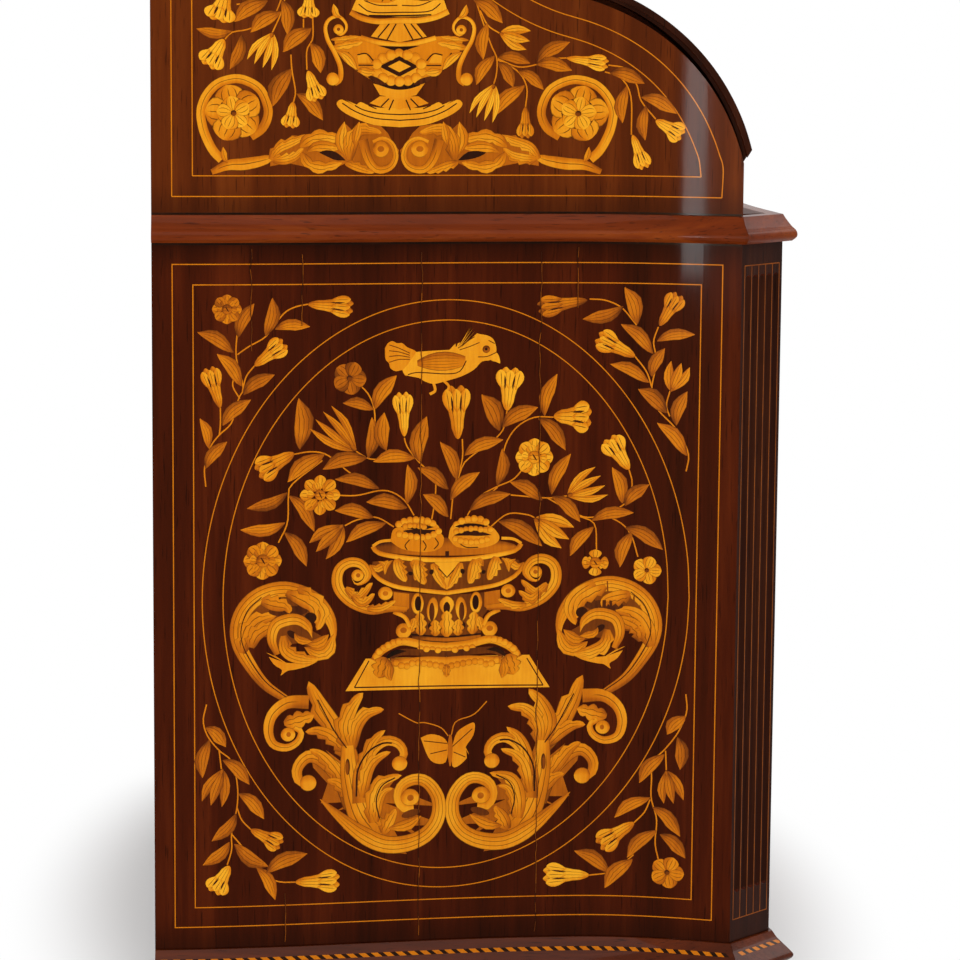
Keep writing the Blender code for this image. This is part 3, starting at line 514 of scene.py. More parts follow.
RED = (paint(22, 5, 1), paint(60, 17, 3), paint(100, 38, 9))
MELLOW = (paint(40, 13, 3), paint(82, 32, 6), paint(118, 55, 15))
MOULDED = (paint(42, 12, 3), paint(104, 39, 8), paint(154, 74, 20))
# Painted shade: the side veneer darker under the waist moulding and above the base moulding, the cheek veneer darker
# just above the waist moulding.
SIDE_VENEER = Wood("side_veneer", *RED, Grain.UPRIGHT, grime=(0.7355, 0.1))
CHEEK_VENEER = Wood("cheek_veneer", *MELLOW, Grain.UPRIGHT, grime=(0.7595,))
POST_VENEER = Wood("post_veneer", paint(16, 6, 3), paint(44, 17, 8), paint(74, 36, 18), Grain.UPRIGHT)
FRONT_VENEER = Wood("front_veneer", *RED, Grain.ACROSS)
TOP_VENEER = Wood("top_veneer", *RED, Grain.ACROSS)
SOLID = Wood("solid_mahogany", paint(28, 9, 3), paint(72, 28, 8), paint(108, 52, 18), Grain.ACROSS, 0.4, 0.02)
EDGE = Wood("moulded_mahogany", *MOULDED, Grain.ACROSS, 0.26, 0.09, 0.9)
SIDE_EDGE = Wood("side_moulding", *MOULDED, Grain.FORE_AFT, 0.26, 0.09, 0.9)
BASED = (paint(32, 10, 4), paint(70, 26, 8), paint(112, 46, 14))
BASE_EDGE = Wood("base_moulding", *BASED, Grain.FORE_AFT, 0.26, 0.14)
OAKEN = (paint(70, 46, 24), paint(124, 88, 52), paint(160, 122, 78))
OAK = Wood("carcase_oak", *OAKEN, Grain.ACROSS, 0.62, 0.0)
DRAWER_OAK = Wood("drawer_oak", *OAKEN, Grain.FORE_AFT, 0.62, 0.0)
AGED = (paint(58, 38, 20), paint(104, 72, 42), paint(140, 104, 66))
BACK_OAK = Wood("back_oak", *AGED, Grain.UPRIGHT, 0.7, 0.0)
INLAY = Inlay()
BRASS = Brass()
HIDE = Hide()


# Case outline


def scoop(reach: float, deepest: float, end: float) -> float:
    """How deep a serpentine hollow is, as a share of its depth.

    Args:
        reach: The distance from its start.
        deepest: Where it is deepest.
        end: Where it ends.

    Returns:
        The share, from 0 to 1.
    """
    if reach < deepest:
        return (1 - cos(pi * reach / deepest)) / 2
    return cos(pi / 2 * ((reach - deepest) / (end - deepest)))


def slope(curve: Callable[[float], float], at: float) -> float:
    """A curve's slope at a place."""
    return (curve(at + SLOPE_STEP) - curve(at - SLOPE_STEP)) / (2 * SLOPE_STEP)


@dataclass(frozen=True)
class Plan:
    """The case in plan, in metres: x from the middle, depth from the back plane to the front."""

    half_width: float = 0.560
    side_depth: float = 0.520
    hollow: float = 0.030
    hollow_depth: float = 0.380
    stile_x: float = 0.518
    front_depth: float = 0.562
    front_hollow: float = 0.016
    front_hollow_x: float = 0.330
    inner_x: float = 0.508
    post_seam: float = 0.487
    back_y: float = 0.292095
    short: float = 1e-4

    def side_x(self, depth: float) -> float:
        """How far out a side's face stands at a depth."""
        return self.half_width - self.hollow * scoop(depth, self.hollow_depth, self.side_depth)

    def front(self, x: float) -> float:
        """How far forward the serpentine front stands at an x."""
        return self.front_depth - self.front_hollow * scoop(abs(x), self.front_hollow_x, self.stile_x)

    def side_normal(self, depth: float) -> Vector:
        """The right side's outward direction at a depth."""
        return Vector((1.0, -slope(self.side_x, depth))).normalized()

    def front_normal(self, x: float) -> Vector:
        """The front's outward direction at an x."""
        return Vector((-slope(self.front, x), 1.0)).normalized()

    def place(self, x: float, depth: float, z: float) -> Vector:
        """A plan point at a height."""
        return Vector((x, self.back_y - depth, z))

    def side_stations(self, count: int, end: float) -> list[Station]:
        """Places and outward directions along the right side from the back.

        Args:
            count: How many steps.
            end: The last depth.

        Returns:
            The stations, the first square to the back.
        """
        depths = np.linspace(GAP, end, count + 1)
        found = [(Vector((self.side_x(d), d)), self.side_normal(d)) for d in depths]
        found[0] = (found[0][0], Vector((1.0, 0.0)))
        return found

    def mitred_side(self, count: int) -> list[Station]:
        """The right side's stations, ending in the mitre at the cant.

        Args:
            count: How many steps.

        Returns:
            The stations from the back.
        """
        found = self.side_stations(count, self.side_depth)
        normal = self.side_normal(self.side_depth - self.short)
        run = Vector((-normal.y, normal.x))
        found[-1] = (OUTER_CORNER - run * GAP / 2, mitre(normal, CANT_NORMAL))
        return found

    def mitred_front(self, count: int) -> list[Station]:
        """The front's stations from the left mitre to the right one, round both cants.

        Args:
            count: How many steps from the cant to the middle.

        Returns:
            The stations from the left.
        """
        normal = self.side_normal(self.side_depth - self.short)
        half = [(OUTER_CORNER + CANT_RUN * GAP / 2, mitre(normal, CANT_NORMAL))]
        half.append((INNER_CORNER, mitre(CANT_NORMAL, self.front_normal(self.stile_x - self.short))))
        inside = np.linspace(self.stile_x, 0, count + 1)[1:]
        half += [(Vector((x, self.front(x))), self.front_normal(x)) for x in inside]
        left = [(Vector((-p.x, p.y)), Vector((-n.x, n.y))) for p, n in half[:-1]]
        return left + half[::-1]


def mitre(first: Vector, second: Vector) -> Vector:
    """The direction that keeps an offset from two faces at their corner."""
    return (first + second) / (1 + first.dot(second))


PLAN = Plan()
CANT_NORMAL = Vector((1.0, 1.0)).normalized()
CANT_RUN = Vector((-1.0, 1.0)).normalized()
OUTER_CORNER = Vector((PLAN.half_width, PLAN.side_depth))
INNER_CORNER = Vector((PLAN.stile_x, PLAN.front_depth))


@dataclass(frozen=True)
class Heights:
    """Levels of the case above the floor, in metres."""

    foot: float = 0.056
    base: float = 0.100
    case: float = 0.7355
    waist: float = 0.7595
    hinge: float = 0.8065
    cheek: float = 1.0165
    top: float = 0.022


Z = Heights()


@dataclass(frozen=True)
class Ogee:
    """The cheeks' bent front edge, and the fall that lies on it."""

    lean: float = radians(58.5)
    shell: float = 0.0085
    tail: float = 0.040
    standoff: Point = (0.001, 0.0055)
    standoff_span: float = 0.150
    curves: tuple[Points, ...] = (
        ((0.0, 0.0), (0.017, 0.069), (0.064, 0.1234), (0.144, 0.144)),
        ((0.144, 0.144), (0.182, 0.1538), (0.212, 0.1756), (0.246, 0.210)),
    )

    def edge(self, steps: int) -> np.ndarray:
        """Points of the edge from the hinge up.

        Args:
            steps: Steps to each of the two curves.

        Returns:
            Rows of (back, up).
        """
        t = np.linspace(0, 1, steps + 1)[:, None]
        runs = []
        for curve in self.curves:
            a, b, c, d = (np.array(p) for p in curve)
            runs.append((1 - t) ** 3 * a + 3 * t * (1 - t) ** 2 * b + 3 * t**2 * (1 - t) * c + t**3 * d)
        return np.vstack([runs[0], runs[1][1:]])

    def along(self, points: np.ndarray) -> np.ndarray:
        """Change rows of (back, up) to (span, out) on the closed fall.

        Args:
            points: The rows.

        Returns:
            The changed rows.
        """
        back, up = points[:, 0], points[:, 1]
        s, c = sin(self.lean), cos(self.lean)
        return np.stack([back * s + up * c, up * s - back * c], axis=1)

    def out_at(self, thickness: float) -> Callable[[float], float]:
        """How far a face of the fall stands out from its flat inside.

        Args:
            thickness: How far that face is from the shell's inner face.

        Returns:
            A function of the span from the hinge.
        """
        edge = self.edge(60)
        run = np.gradient(edge, axis=0)
        run /= np.linalg.norm(run, axis=1)[:, None]
        edge = np.vstack([edge[:1] - run[:1] * self.tail, edge, edge[-1:] + run[-1:] * self.tail])
        run = np.vstack([run[:1], run, run[-1:]])
        normal = np.stack([-run[:, 1], run[:, 0]], axis=1)
        share = np.clip(self.along(edge)[:, 0] / self.standoff_span, 0, 1)
        low, high = self.standoff
        places = self.along(edge + normal * (low + (high - low) * share + thickness)[:, None])
        return lambda span: float(np.interp(span, places[:, 0], places[:, 1]))

    def place(self, span: float, out: float) -> Point:
        """The (depth, z) of a place on the closed fall."""
        s, c = sin(self.lean), cos(self.lean)
        return PLAN.side_depth - (span * s - out * c), Z.hinge + span * c + out * s

    @property
    def span(self) -> float:
        """The fall's length from the hinge."""
        return float(self.along(self.edge(2))[-1, 0])


OGEE = Ogee()


# Photograph's camera


@dataclass(frozen=True)
class Viewpoint:
    """Where the photograph was taken from, and how its camera was turned."""

    focal: float = 3500.0
    image: float = 960.0
    spot: Spot = (-3.62336, 0.214105, 0.97188)
    yaw: float = 0.0689
    pitch: float = 0.1443
    roll: float = 0.0079
    rounds: int = 12

    def axes(self) -> np.ndarray:
        """The camera's directions.

        Returns:
            Rows that point right, up and ahead.
        """
        forward = np.array((cos(self.yaw), -sin(self.yaw), 0.0))
        right = np.array((-sin(self.yaw), -cos(self.yaw), 0.0))
        level = np.array((0.0, 0.0, 1.0))
        ahead = forward * cos(self.pitch) - level * sin(self.pitch)
        above = forward * sin(self.pitch) + level * cos(self.pitch)
        across = right * cos(self.roll) + above * sin(self.roll)
        return np.array((across, above * cos(self.roll) - right * sin(self.roll), ahead))

    def on_side(self, x: float, y: float) -> Point:
        """Where a point of the photograph lies on the bowed left side.

        Args:
            x: Pixels from the photograph's left edge.
            y: Pixels from its top.

        Returns:
            Depth from the back and height, in millimetres.
        """
        middle = self.image / 2
        ray = np.array((x - middle, middle - y, self.focal)) @ self.axes()
        out = PLAN.half_width
        for _ in range(self.rounds):
            place = np.array(self.spot) - ray * (out + self.spot[0]) / ray[0]
            depth = PLAN.back_y - place[1]
            out = PLAN.side_x(depth)
        return depth / MM, place[2] / MM


VIEW = Viewpoint()


# Mesh operations


def raised(outline: Iterable[Vector], rise: Vector) -> BMesh:
    """Push a flat outline out into a board.

    Args:
        outline: Corners, in order.
        rise: Which way and how far.

    Returns:
        The board's mesh.
    """
    bm = bmesh.new()
    face = bm.faces.new([bm.verts.new(corner) for corner in outline])
    grown = bmesh.ops.extrude_face_region(bm, geom=[face])["geom"]
    bmesh.ops.translate(bm, vec=rise, verts=[g for g in grown if isinstance(g, BMVert)])
    bmesh.ops.recalc_face_normals(bm, faces=bm.faces)
    return bm


def soften(bm: BMesh, width: float, least: float = 30.0, segments: int = 2) -> None:
    """Round a mesh's sharp edges.

    Args:
        bm: The mesh.
        width: How far the rounding reaches.
        least: The smallest turn that counts as sharp, in degrees.
        segments: Faces across the rounding.
    """
    sharp = [e for e in bm.edges if len(e.link_faces) == 2 and e.calc_face_angle() > radians(least)]
    shape = {"segments": segments, "profile": 0.5, "affect": "EDGES", "material": -1}
    bmesh.ops.bevel(bm, geom=sharp, offset=width, clamp_overlap=True, **shape)


def swept(sections: Sequence[Sequence[Vector]]) -> BMesh:
    """Carry a flat section from place to place.

    Args:
        sections: The section's corners at each place.

    Returns:
        The closed run's mesh.
    """
    bm = bmesh.new()
    face = bm.faces.new([bm.verts.new(corner) for corner in sections[0]])
    corners = list(face.verts)
    for step, section in enumerate(sections[1:]):
        grown = bmesh.ops.extrude_face_region(bm, geom=[face])["geom"]
        moved = {v.co.copy().freeze(): v for v in grown if isinstance(v, BMVert)}
        fresh = [moved[c.co.copy().freeze()] for c in corners]
        if step:
            bmesh.ops.delete(bm, geom=[face], context="FACES_ONLY")
        face = next(g for g in grown if isinstance(g, BMFace))
        for vert, corner in zip(fresh, section):
            vert.co = corner
        corners = fresh
    bmesh.ops.recalc_face_normals(bm, faces=bm.faces)
    return bm


def turned(profile: Sequence[Point], place: Vector, axis: Vector, steps: int = 40) -> BMesh:
    """Turn a profile on the lathe.

    Args:
        profile: Points of (radius, along the axis), from end to end.
        place: The axis's foot.
        axis: The axis's direction.
        steps: Steps round.

    Returns:
        The closed turning's mesh.
    """
    bm = bmesh.new()
    verts = [bm.verts.new((radius, 0, along)) for radius, along in profile]
    edges = [bm.edges.new(pair) for pair in pairwise(verts)]
    lathe = {"cent": (0, 0, 0), "axis": (0, 0, 1), "angle": 2 * pi}
    bmesh.ops.spin(bm, geom=verts + edges, steps=steps, use_merge=True, **lathe)
    bmesh.ops.remove_doubles(bm, verts=bm.verts, dist=1e-6)
    bmesh.ops.recalc_face_normals(bm, faces=bm.faces)
    turn = UP.rotation_difference(axis).to_matrix()
    bmesh.ops.rotate(bm, cent=(0, 0, 0), matrix=turn, verts=bm.verts)
    bmesh.ops.translate(bm, vec=place, verts=bm.verts)
    return bm


def tube(path: Sequence[Vector], radii: Sequence[float], sides: int = 10) -> BMesh:
    """Carry a ring along a path.

    Args:
        path: Points of the centre line.
        radii: The ring's radius at each.
        sides: Sides of the ring.

    Returns:
        The closed bar's mesh.
    """
    sections = []
    side = None
    for k, point in enumerate(path):
        run = (path[min(k + 1, len(path) - 1)] - path[max(k - 1, 0)]).normalized()
        side = run.orthogonal().normalized() if side is None else (side - run * side.dot(run)).normalized()
        other = run.cross(side)
        turns = [2 * pi * j / sides for j in range(sides)]
        sections.append([point + (side * cos(a) + other * sin(a)) * radii[k] for a in turns])
    return swept(sections)


def join(target: BMesh, other: BMesh) -> None:
    """Add another mesh to a mesh.

    Args:
        target: The mesh that grows.
        other: What is added, which is freed.
    """
    mesh = bpy.data.meshes.new("joined")
    other.to_mesh(mesh)
    other.free()
    target.from_mesh(mesh)
    bpy.data.meshes.remove(mesh)


def in_scene(name: str, data: bpy.types.ID) -> bpy.types.Object:
    """Put something into the scene.

    Args:
        name: Its name.
        data: Its mesh, lamp or camera.

    Returns:
        The new object.
    """
    made = bpy.data.objects.new(name, data)
    bpy.context.scene.collection.objects.link(made)
    return made


@dataclass(frozen=True)
class Seat:
    """Where a new piece belongs: its body, its finish and the record's slot."""

    body: str
    finish: Finish
    slot: str = "mahogany_veneer"

    def put(self, name: str, bm: BMesh, *nodes: str, crease: float = 32.0) -> bpy.types.Object:
        """Make a piece from a mesh, dress it and set it on its body.

        Args:
            name: The piece's name.
            bm: Its mesh, which is freed.
            nodes: The solids that it stands for.
            crease: The smallest turn that stays sharp, in degrees.

        Returns:
            The piece.
        """
        mesh = bpy.data.meshes.new(name)
        bm.to_mesh(mesh)
        bm.free()
        mesh.shade_smooth()
        mesh.set_sharp_from_angle(angle=radians(crease))
        mesh.materials.append(self.finish.material())
        piece = in_scene(name, mesh)
        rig.ride(piece, self.body)
        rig.slot(piece, self.slot)
        if nodes:
            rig.replaces(piece, *nodes)
        log.info("%s: %d faces on %s", name, len(mesh.polygons), self.body)
        return piece


def side_word(side: int) -> str:
    """The word for a side."""
    return "left" if side < 0 else "right"


# Case


@dataclass
class LowerCase:
    """Sides, fluted posts and boards of the drawer case."""

    flutes: int = 5
    pitch: float = 0.0102
    flute_width: float = 0.008
    flute_radius: float = 0.0043
    flute_low: float = 0.150
    flute_high: float = 0.7035
    columns: int = 110
    rails: tuple[str, ...] = ("case_bottom", "lower_drawer_rail", "upper_drawer_rail")

    def build(self) -> None:
        """Build and dress every piece of the case."""
        for side in (-1, 1):
            self.side(side)
            self.post(side)
        self.boards()

    def side(self, side: int) -> None:
        """One bowed side board.

        Args:
            side: -1 for left, 1 for right.
        """
        name = f"lower_{side_word(side)}_side"
        low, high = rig.box(name)
        depths = np.linspace(GAP, PLAN.post_seam - GAP / 8, 122)
        outline = [PLAN.place(side * PLAN.side_x(d), d, low.z) for d in depths]
        outline += [PLAN.place(side * PLAN.inner_x, d, low.z) for d in (depths[-1], depths[0])]
        bm = raised(outline, Vector((0, 0, high.z - low.z)))
        Seat("case", SIDE_VENEER).put(f"{name}_board", bm, name, crease=20)

    def post(self, side: int) -> None:
        """One corner post, its canted face a grid pressed into flutes.

        Args:
            side: -1 for left, 1 for right.
        """
        name = f"{side_word(side)}_corner_post"
        low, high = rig.box(name)
        width = (OUTER_CORNER - INNER_CORNER).length
        depths = np.linspace(PLAN.post_seam + GAP / 8, PLAN.side_depth, 12)
        back = [Vector((PLAN.inner_x, depths[0]))] + [Vector((PLAN.side_x(d), d)) for d in depths]
        inside = np.linspace(PLAN.stile_x, PLAN.inner_x, 4)[1:]
        ahead = [INNER_CORNER] + [Vector((x, PLAN.front(x))) for x in inside]
        across = [OUTER_CORNER.lerp(INNER_CORNER, k / self.columns) for k in range(1, self.columns)]
        outline = back + across + ahead
        sections = []
        for z in (low.z, *self.flute_levels(), high.z):
            ring = []
            for p in outline:
                s = (p - OUTER_CORNER).dot(CANT_RUN)
                on_face = abs((p - OUTER_CORNER).dot(CANT_NORMAL)) < 1e-6
                sink = self.depth(s - width / 2, z) if on_face else 0.0
                q = p - CANT_NORMAL * sink
                ring.append(PLAN.place(side * q.x, q.y, z))
            sections.append(ring)
        bm = swept(sections)
        for face in bm.faces:
            spot = face.calc_center_median()
            s = (Vector((side * spot.x, PLAN.back_y - spot.y)) - OUTER_CORNER).dot(CANT_RUN)
            face.material_index = int(0 < s < width and abs(face.normal.z) < 0.5)
        piece = Seat("case", SIDE_VENEER).put(f"{name}_fluted", bm, name, crease=40)
        piece.data.materials.append(POST_VENEER.material())

    def flute_levels(self) -> list[float]:
        """Heights at which the post's face changes, close together at the flutes' ends.

        Returns:
            The heights from the lowest.
        """
        half = self.flute_width / 2
        ends = [half * (1 - cos(pi * k / 12)) for k in range(13)]
        low = [self.flute_low - half + e for e in ends]
        high = [self.flute_high - half + e for e in ends]
        return low + list(np.linspace(low[-1], high[0], 6)[1:-1]) + high

    def depth(self, across: float, z: float) -> float:
        """How deep a flute is at a place on the canted face.

        Args:
            across: Distance from the face's middle.
            z: Height.

        Returns:
            The depth below the face.
        """
        nearest = round(across / self.pitch)
        if abs(nearest) > (self.flutes - 1) / 2:
            return 0.0
        off = across - nearest * self.pitch
        rise = max(self.flute_low - z, z - self.flute_high, 0.0)
        reach = off * off + rise * rise
        half = self.flute_width / 2
        if reach >= half * half:
            return 0.0
        base = sqrt(self.flute_radius**2 - half**2)
        return sqrt(self.flute_radius**2 - reach) - base

    def boards(self) -> None:
        """The rails between the drawers and the bottom, each with a serpentine front edge."""
        for name in self.rails:
            bm = serpentine(name, 80)
            soften(bm, 0.0012)
            Seat("case", SOLID).put(f"{name}_edged", bm, name)


def serpentine(name: str, steps: int) -> BMesh:
    """A board as large as a solid, with a serpentine front edge.

    Args:
        name: The solid.
        steps: Steps along the edge.

    Returns:
        The board's mesh.
    """
    low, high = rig.box(name)
    outline = [PLAN.place(x, PLAN.front(x), low.z) for x in np.linspace(low.x, high.x, steps + 1)]
    outline += [PLAN.place(x, PLAN.back_y - high.y, low.z) for x in (high.x, low.x)]
    return raised(outline, Vector((0, 0, high.z - low.z)))


class Run(Enum):
    """The three runs of a moulding."""

    LEFT = "left"
    RIGHT = "right"
    FRONT = "front"

    def stations(self) -> list[Station]:
        """The outline that this run follows."""
        return PLAN.mitred_front(72) if self is Run.FRONT else PLAN.mitred_side(60)

    @property
    def side(self) -> int:
        """-1 for the left run, 1 for the others."""
        return -1 if self is Run.LEFT else 1


def flowing(points: Sequence[Point], steps: int) -> list[Point]:
    """A smooth line through points.

    Args:
        points: The points.
        steps: Steps between each two.

    Returns:
        The line's points, both ends included.
    """
    rows = [np.array(p, float) for p in points]
    rows = [2 * rows[0] - rows[1], *rows, 2 * rows[-1] - rows[-2]]
    line = []
    for a, b, c, d in zip(rows, rows[1:], rows[2:], rows[3:]):
        for k in range(steps):
            t = k / steps
            square, cube = 2 * a - 5 * b + 4 * c - d, 3 * b - a - 3 * c + d
            line.append(0.5 * (2 * b + (c - a) * t + square * t**2 + cube * t**3))
    line.append(rows[-2])
    return [(float(p[0]), float(p[1])) for p in line]


@dataclass
class Mouldings:
    """Waist and base mouldings round the case."""

    waist_seat: float = 0.014
    waist_out: float = 0.012
    waist_shape: Points = (
        (0.65, 0.0), (0.95, 0.14), (1.0, 0.28), (0.88, 0.42), (0.60, 0.56), (0.22, 0.82), (0.0, 1.0)
    )
    base_seat: float = 0.030
    base_out: float = 0.021
    plinth_out: float = 0.013
    plinth_drop: float = 1.30
    base_shape: Points = (
        (0.80, 1.27), (0.97, 1.12), (1.0, 0.97), (0.86, 0.80), (0.34, 0.30), (0.14, 0.0)
    )

    def build(self) -> None:
        """Build and dress both mouldings."""
        floor = Z.case + GAP
        rise = Z.waist - floor
        waist = [(o * self.waist_out, floor + u * rise) for o, u in flowing(self.waist_shape, 4)]
        waist = [(-self.waist_seat, floor), *waist, (-self.waist_seat, Z.waist)]
        out = self.base_out
        shape = [*flowing(self.base_shape[:4], 4), *self.base_shape[4:]]
        base = [(o * out, Z.base - d * out) for o, d in shape]
        plinth = Z.base - self.plinth_drop * out
        base = [
            (-self.base_seat, Z.foot), (self.plinth_out, Z.foot), (self.plinth_out, plinth), *base,
            (-self.base_seat, Z.base),
        ]
        for run in Run:
            for word, profile in (("waist", waist), ("base", base)):
                self.run(word, profile, run)

    def run(self, word: str, profile: Sequence[Point], run: Run) -> None:
        """One run of a moulding.

        Args:
            word: Which moulding.
            profile: Its section, as (out, z).
            run: Which run.
        """
        sections = []
        for place, way in run.stations():
            points = [(place + way * out, z) for out, z in profile]
            sections.append([PLAN.place(run.side * p.x, p.y, z) for p, z in points])
        finish = BASE_EDGE if word == "base" else EDGE if run is Run.FRONT else SIDE_EDGE
        name = f"{word}_moulding_{run.value}"
        Seat("case", finish, "moulding_mahogany").put(f"{name}_run", swept(sections), name, crease=28)


@dataclass
class Feet:
    """Four turned bun feet."""

    radius: float = 0.043
    neck: float = 0.029
    collar: float = 0.0334
    sole: float = 0.0267
    collar_height: float = 0.009
    steps: int = 22

    def build(self) -> None:
        """Turn and dress the feet."""
        for end in ("front", "rear"):
            for side in (-1, 1):
                name = f"{end}_{side_word(side)}_foot"
                low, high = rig.box(name)
                middle = Vector(((low.x + high.x) / 2, (low.y + high.y) / 2, 0))
                bm = turned(self.profile(high.z), middle, UP, 48)
                Seat("case", EDGE, "moulding_mahogany").put(f"{name}_turned", bm, name, crease=40)

    def profile(self, top: float) -> list[Point]:
        """The foot's section.

        Args:
            top: Its height.

        Returns:
            Points of (radius, height) from the top down to the sole.
        """
        neck = top - self.collar_height
        collar = ((-0.001, 0.0), (0.0, 0.001), (0.0, 0.0035), (-0.001, 0.0045))
        shape = [(0.0, top), *((self.collar + out, top - down) for out, down in collar)]
        shape += [(self.neck + 0.0008, neck + 0.002), (self.neck, neck)]
        for k in range(1, self.steps):
            angle = pi * k / self.steps
            shape.append((self.sole + (self.radius - self.sole) * sin(angle), neck * (1 + cos(angle)) / 2))
        return shape + [(self.sole, 0.0), (0.0, 0.0)]


# Writing part


@dataclass
class Cheeks:
    """The two ogee-fronted sides above the waist, crossed by seams so that they can bow."""

    seam: float = 0.004
    seams: int = 129

    def build(self) -> None:
        """Build and dress both cheeks."""
        edge = [(PLAN.side_depth - back, Z.hinge + up) for back, up in OGEE.edge(24)]
        floor = Z.waist + GAP
        outline = [(GAP, floor), (PLAN.side_depth, floor), *edge, (GAP, Z.cheek)]
        for side in (-1, 1):
            name = f"{side_word(side)}_cheek"
            bm = raised([PLAN.place(0, d, z) for d, z in outline], Vector((side, 0, 0)))
            for depth in np.linspace(self.seam, PLAN.side_depth - self.seam, self.seams):
                geom, spot = bm.verts[:] + bm.edges[:] + bm.faces[:], PLAN.place(0, depth, 0)
                bmesh.ops.bisect_plane(bm, geom=geom, dist=1e-6, plane_co=spot, plane_no=(0, 1, 0))
            for vert in bm.verts:
                depth = PLAN.back_y - vert.co.y
                vert.co.x = side * (PLAN.side_x(depth) if abs(vert.co.x) > 0.5 else PLAN.inner_x)
            soften(bm, 0.0008)
            Seat("case", CHEEK_VENEER).put(f"{name}_board", bm, name, crease=20)


@dataclass
class TopBoard:
    """The top board with its moulded edge."""

    out: float = 0.008
    shape: Points = ((0.0, 0.0), (0.60, 0.30), (1.0, 0.60), (1.0, 0.82), (0.60, 1.0))

    def build(self) -> None:
        """Build and dress the board."""
        front = PLAN.side_depth - OGEE.curves[1][-1][0]
        right = PLAN.side_stations(30, front)
        right[0] = (Vector((PLAN.side_x(0), 0.0)), right[0][1])
        right[-1] = (right[-1][0], mitre(right[-1][1], Vector((0.0, 1.0))))
        left = [(Vector((-p.x, p.y)), Vector((-n.x, n.y))) for p, n in reversed(right)]
        floor = Z.cheek + GAP
        sections = []
        for out, up in flowing(self.shape, 3):
            points = [place + way * out * self.out for place, way in right + left]
            sections.append([PLAN.place(p.x, p.y, floor + up * Z.top) for p in points])
        bm = swept(sections)
        Seat("case", TOP_VENEER).put("top_board_moulded", bm, "top_board")


@dataclass
class Fall:
    """The bent lid."""

    end_gap: float = 0.002
    proud: float = 0.001
    lip: float = 0.0055
    rebate: float = 0.007
    steps: int = 56
    crowding: float = 1.6

    def build(self) -> None:
        """Build and dress the lid's shell."""
        bm = self.layer(OGEE.shell - self.lip, OGEE.shell, self.proud)
        soften(bm, 0.0022, 40, 3)
        join(bm, self.layer(0.0, OGEE.shell - self.lip, self.proud - self.rebate))
        # The lid's end faces take the darker post veneer: darker end wood, with painted shade for the rebate at each
        # end.
        for face in bm.faces:
            face.material_index = int(abs(face.normal.x) > 0.5)
        lid = Seat("fall", FRONT_VENEER).put("fall_lid", bm, "fall_shell", crease=30)
        lid.data.materials.append(POST_VENEER.material())

    def layer(self, low: float, high: float, past: float) -> BMesh:
        """One layer of the lid's thickness.

        Args:
            low: Its inner face, from the shell's own inner face.
            high: Its outer face.
            past: How far its ends stand past the cheeks.

        Returns:
            The layer's mesh.
        """
        outer, inner = OGEE.out_at(high), OGEE.out_at(low)
        end = OGEE.span - self.end_gap
        spans = [GAP + (end - GAP) * (k / self.steps) ** self.crowding for k in range(self.steps + 1)]
        section = [OGEE.place(s, outer(s)) for s in spans]
        section += [OGEE.place(s, inner(s)) for s in reversed(spans)]
        bm = raised([PLAN.place(-1, d, z) for d, z in section], Vector((2, 0, 0)))
        for vert in bm.verts:
            depth = min(PLAN.back_y - vert.co.y, PLAN.side_depth)
            vert.co.x *= PLAN.side_x(depth) + past
        return bm


# Drawers


@dataclass
class Drawers:
    """Serpentine drawer fronts, lopers and their guides."""

    chord: float = 0.012

    def build(self) -> None:
        """Build and dress the fronts."""
        for word in DRAWERS:
            self.front(f"{word}_drawer_front", f"{word}_drawer", FRONT_VENEER)
        for side in (-1, 1):
            word = side_word(side)
            self.front(f"{word}_loper", f"{word}_loper", SOLID)
            self.front(f"{word}_loper_guide", "case", SOLID)

    def front(self, name: str, body: str, finish: Wood) -> None:
        """One board with a serpentine front edge.

        Args:
            name: The solid that it stands for.
            body: The body that it rides on.
            finish: Its wood.
        """
        low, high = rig.box(name)
        bm = serpentine(name, max(6, round((high.x - low.x) / self.chord)))
        soften(bm, 0.001)
        Seat(body, finish).put(f"{name}_board", bm, name, crease=20)


# Marquetry


class Outline(Enum):
    """What a row of a marquetry table cuts."""

    BAND, TAPER, LEAF, PETAL, BELL, DISC, THORN, FROND, BODY, FEATHER, RIBBON, COMMA = range(12)
    STEM, SPRIG, BEADS, PLATE, SHAPE, RUFFLED, TULIP, LILY, STAR, ROSE, TWIN = range(12, 23)

    @property
    def steps(self) -> int:
        """Least steps along a strip of this outline."""
        return {"BAND": 1, "TAPER": 1, "THORN": 2, "STEM": 1, "FROND": 12, "FEATHER": 16}.get(self.name, 9)

    @property
    def eased(self) -> bool:
        """Whether the steps crowd towards the ends, which are round."""
        return self.name in ("LEAF", "PETAL", "BELL", "DISC", "BODY")

    def widths(self, s: float) -> Point:
        """The two half widths of a strip at a share of its length, as shares of the widest.

        Args:
            s: The share, from 0 to 1.

        Returns:
            The left and the right half width.
        """
        if s >= 1 and self.name in ("LEAF", "PETAL", "FROND", "FEATHER", "RIBBON"):
            return 0.0, 0.0
        if self is Outline.LEAF:
            blade = sin(pi / 2 * min(s / 0.66, 1.0)) ** 0.9 * min(1.0, (1 - s) / 0.34)
            return sin(pi * s**0.85) ** 0.85, blade
        if self is Outline.FEATHER:
            body = sin(pi * min(0.10 + 0.90 * s**0.9, 1.0)) ** 0.6
            return body * (0.58 + 0.56 * (4 * s % 1.0)), 0.8 * body
        width = HALF_WIDTHS[self](s) if self in HALF_WIDTHS else 1.0
        return width, width


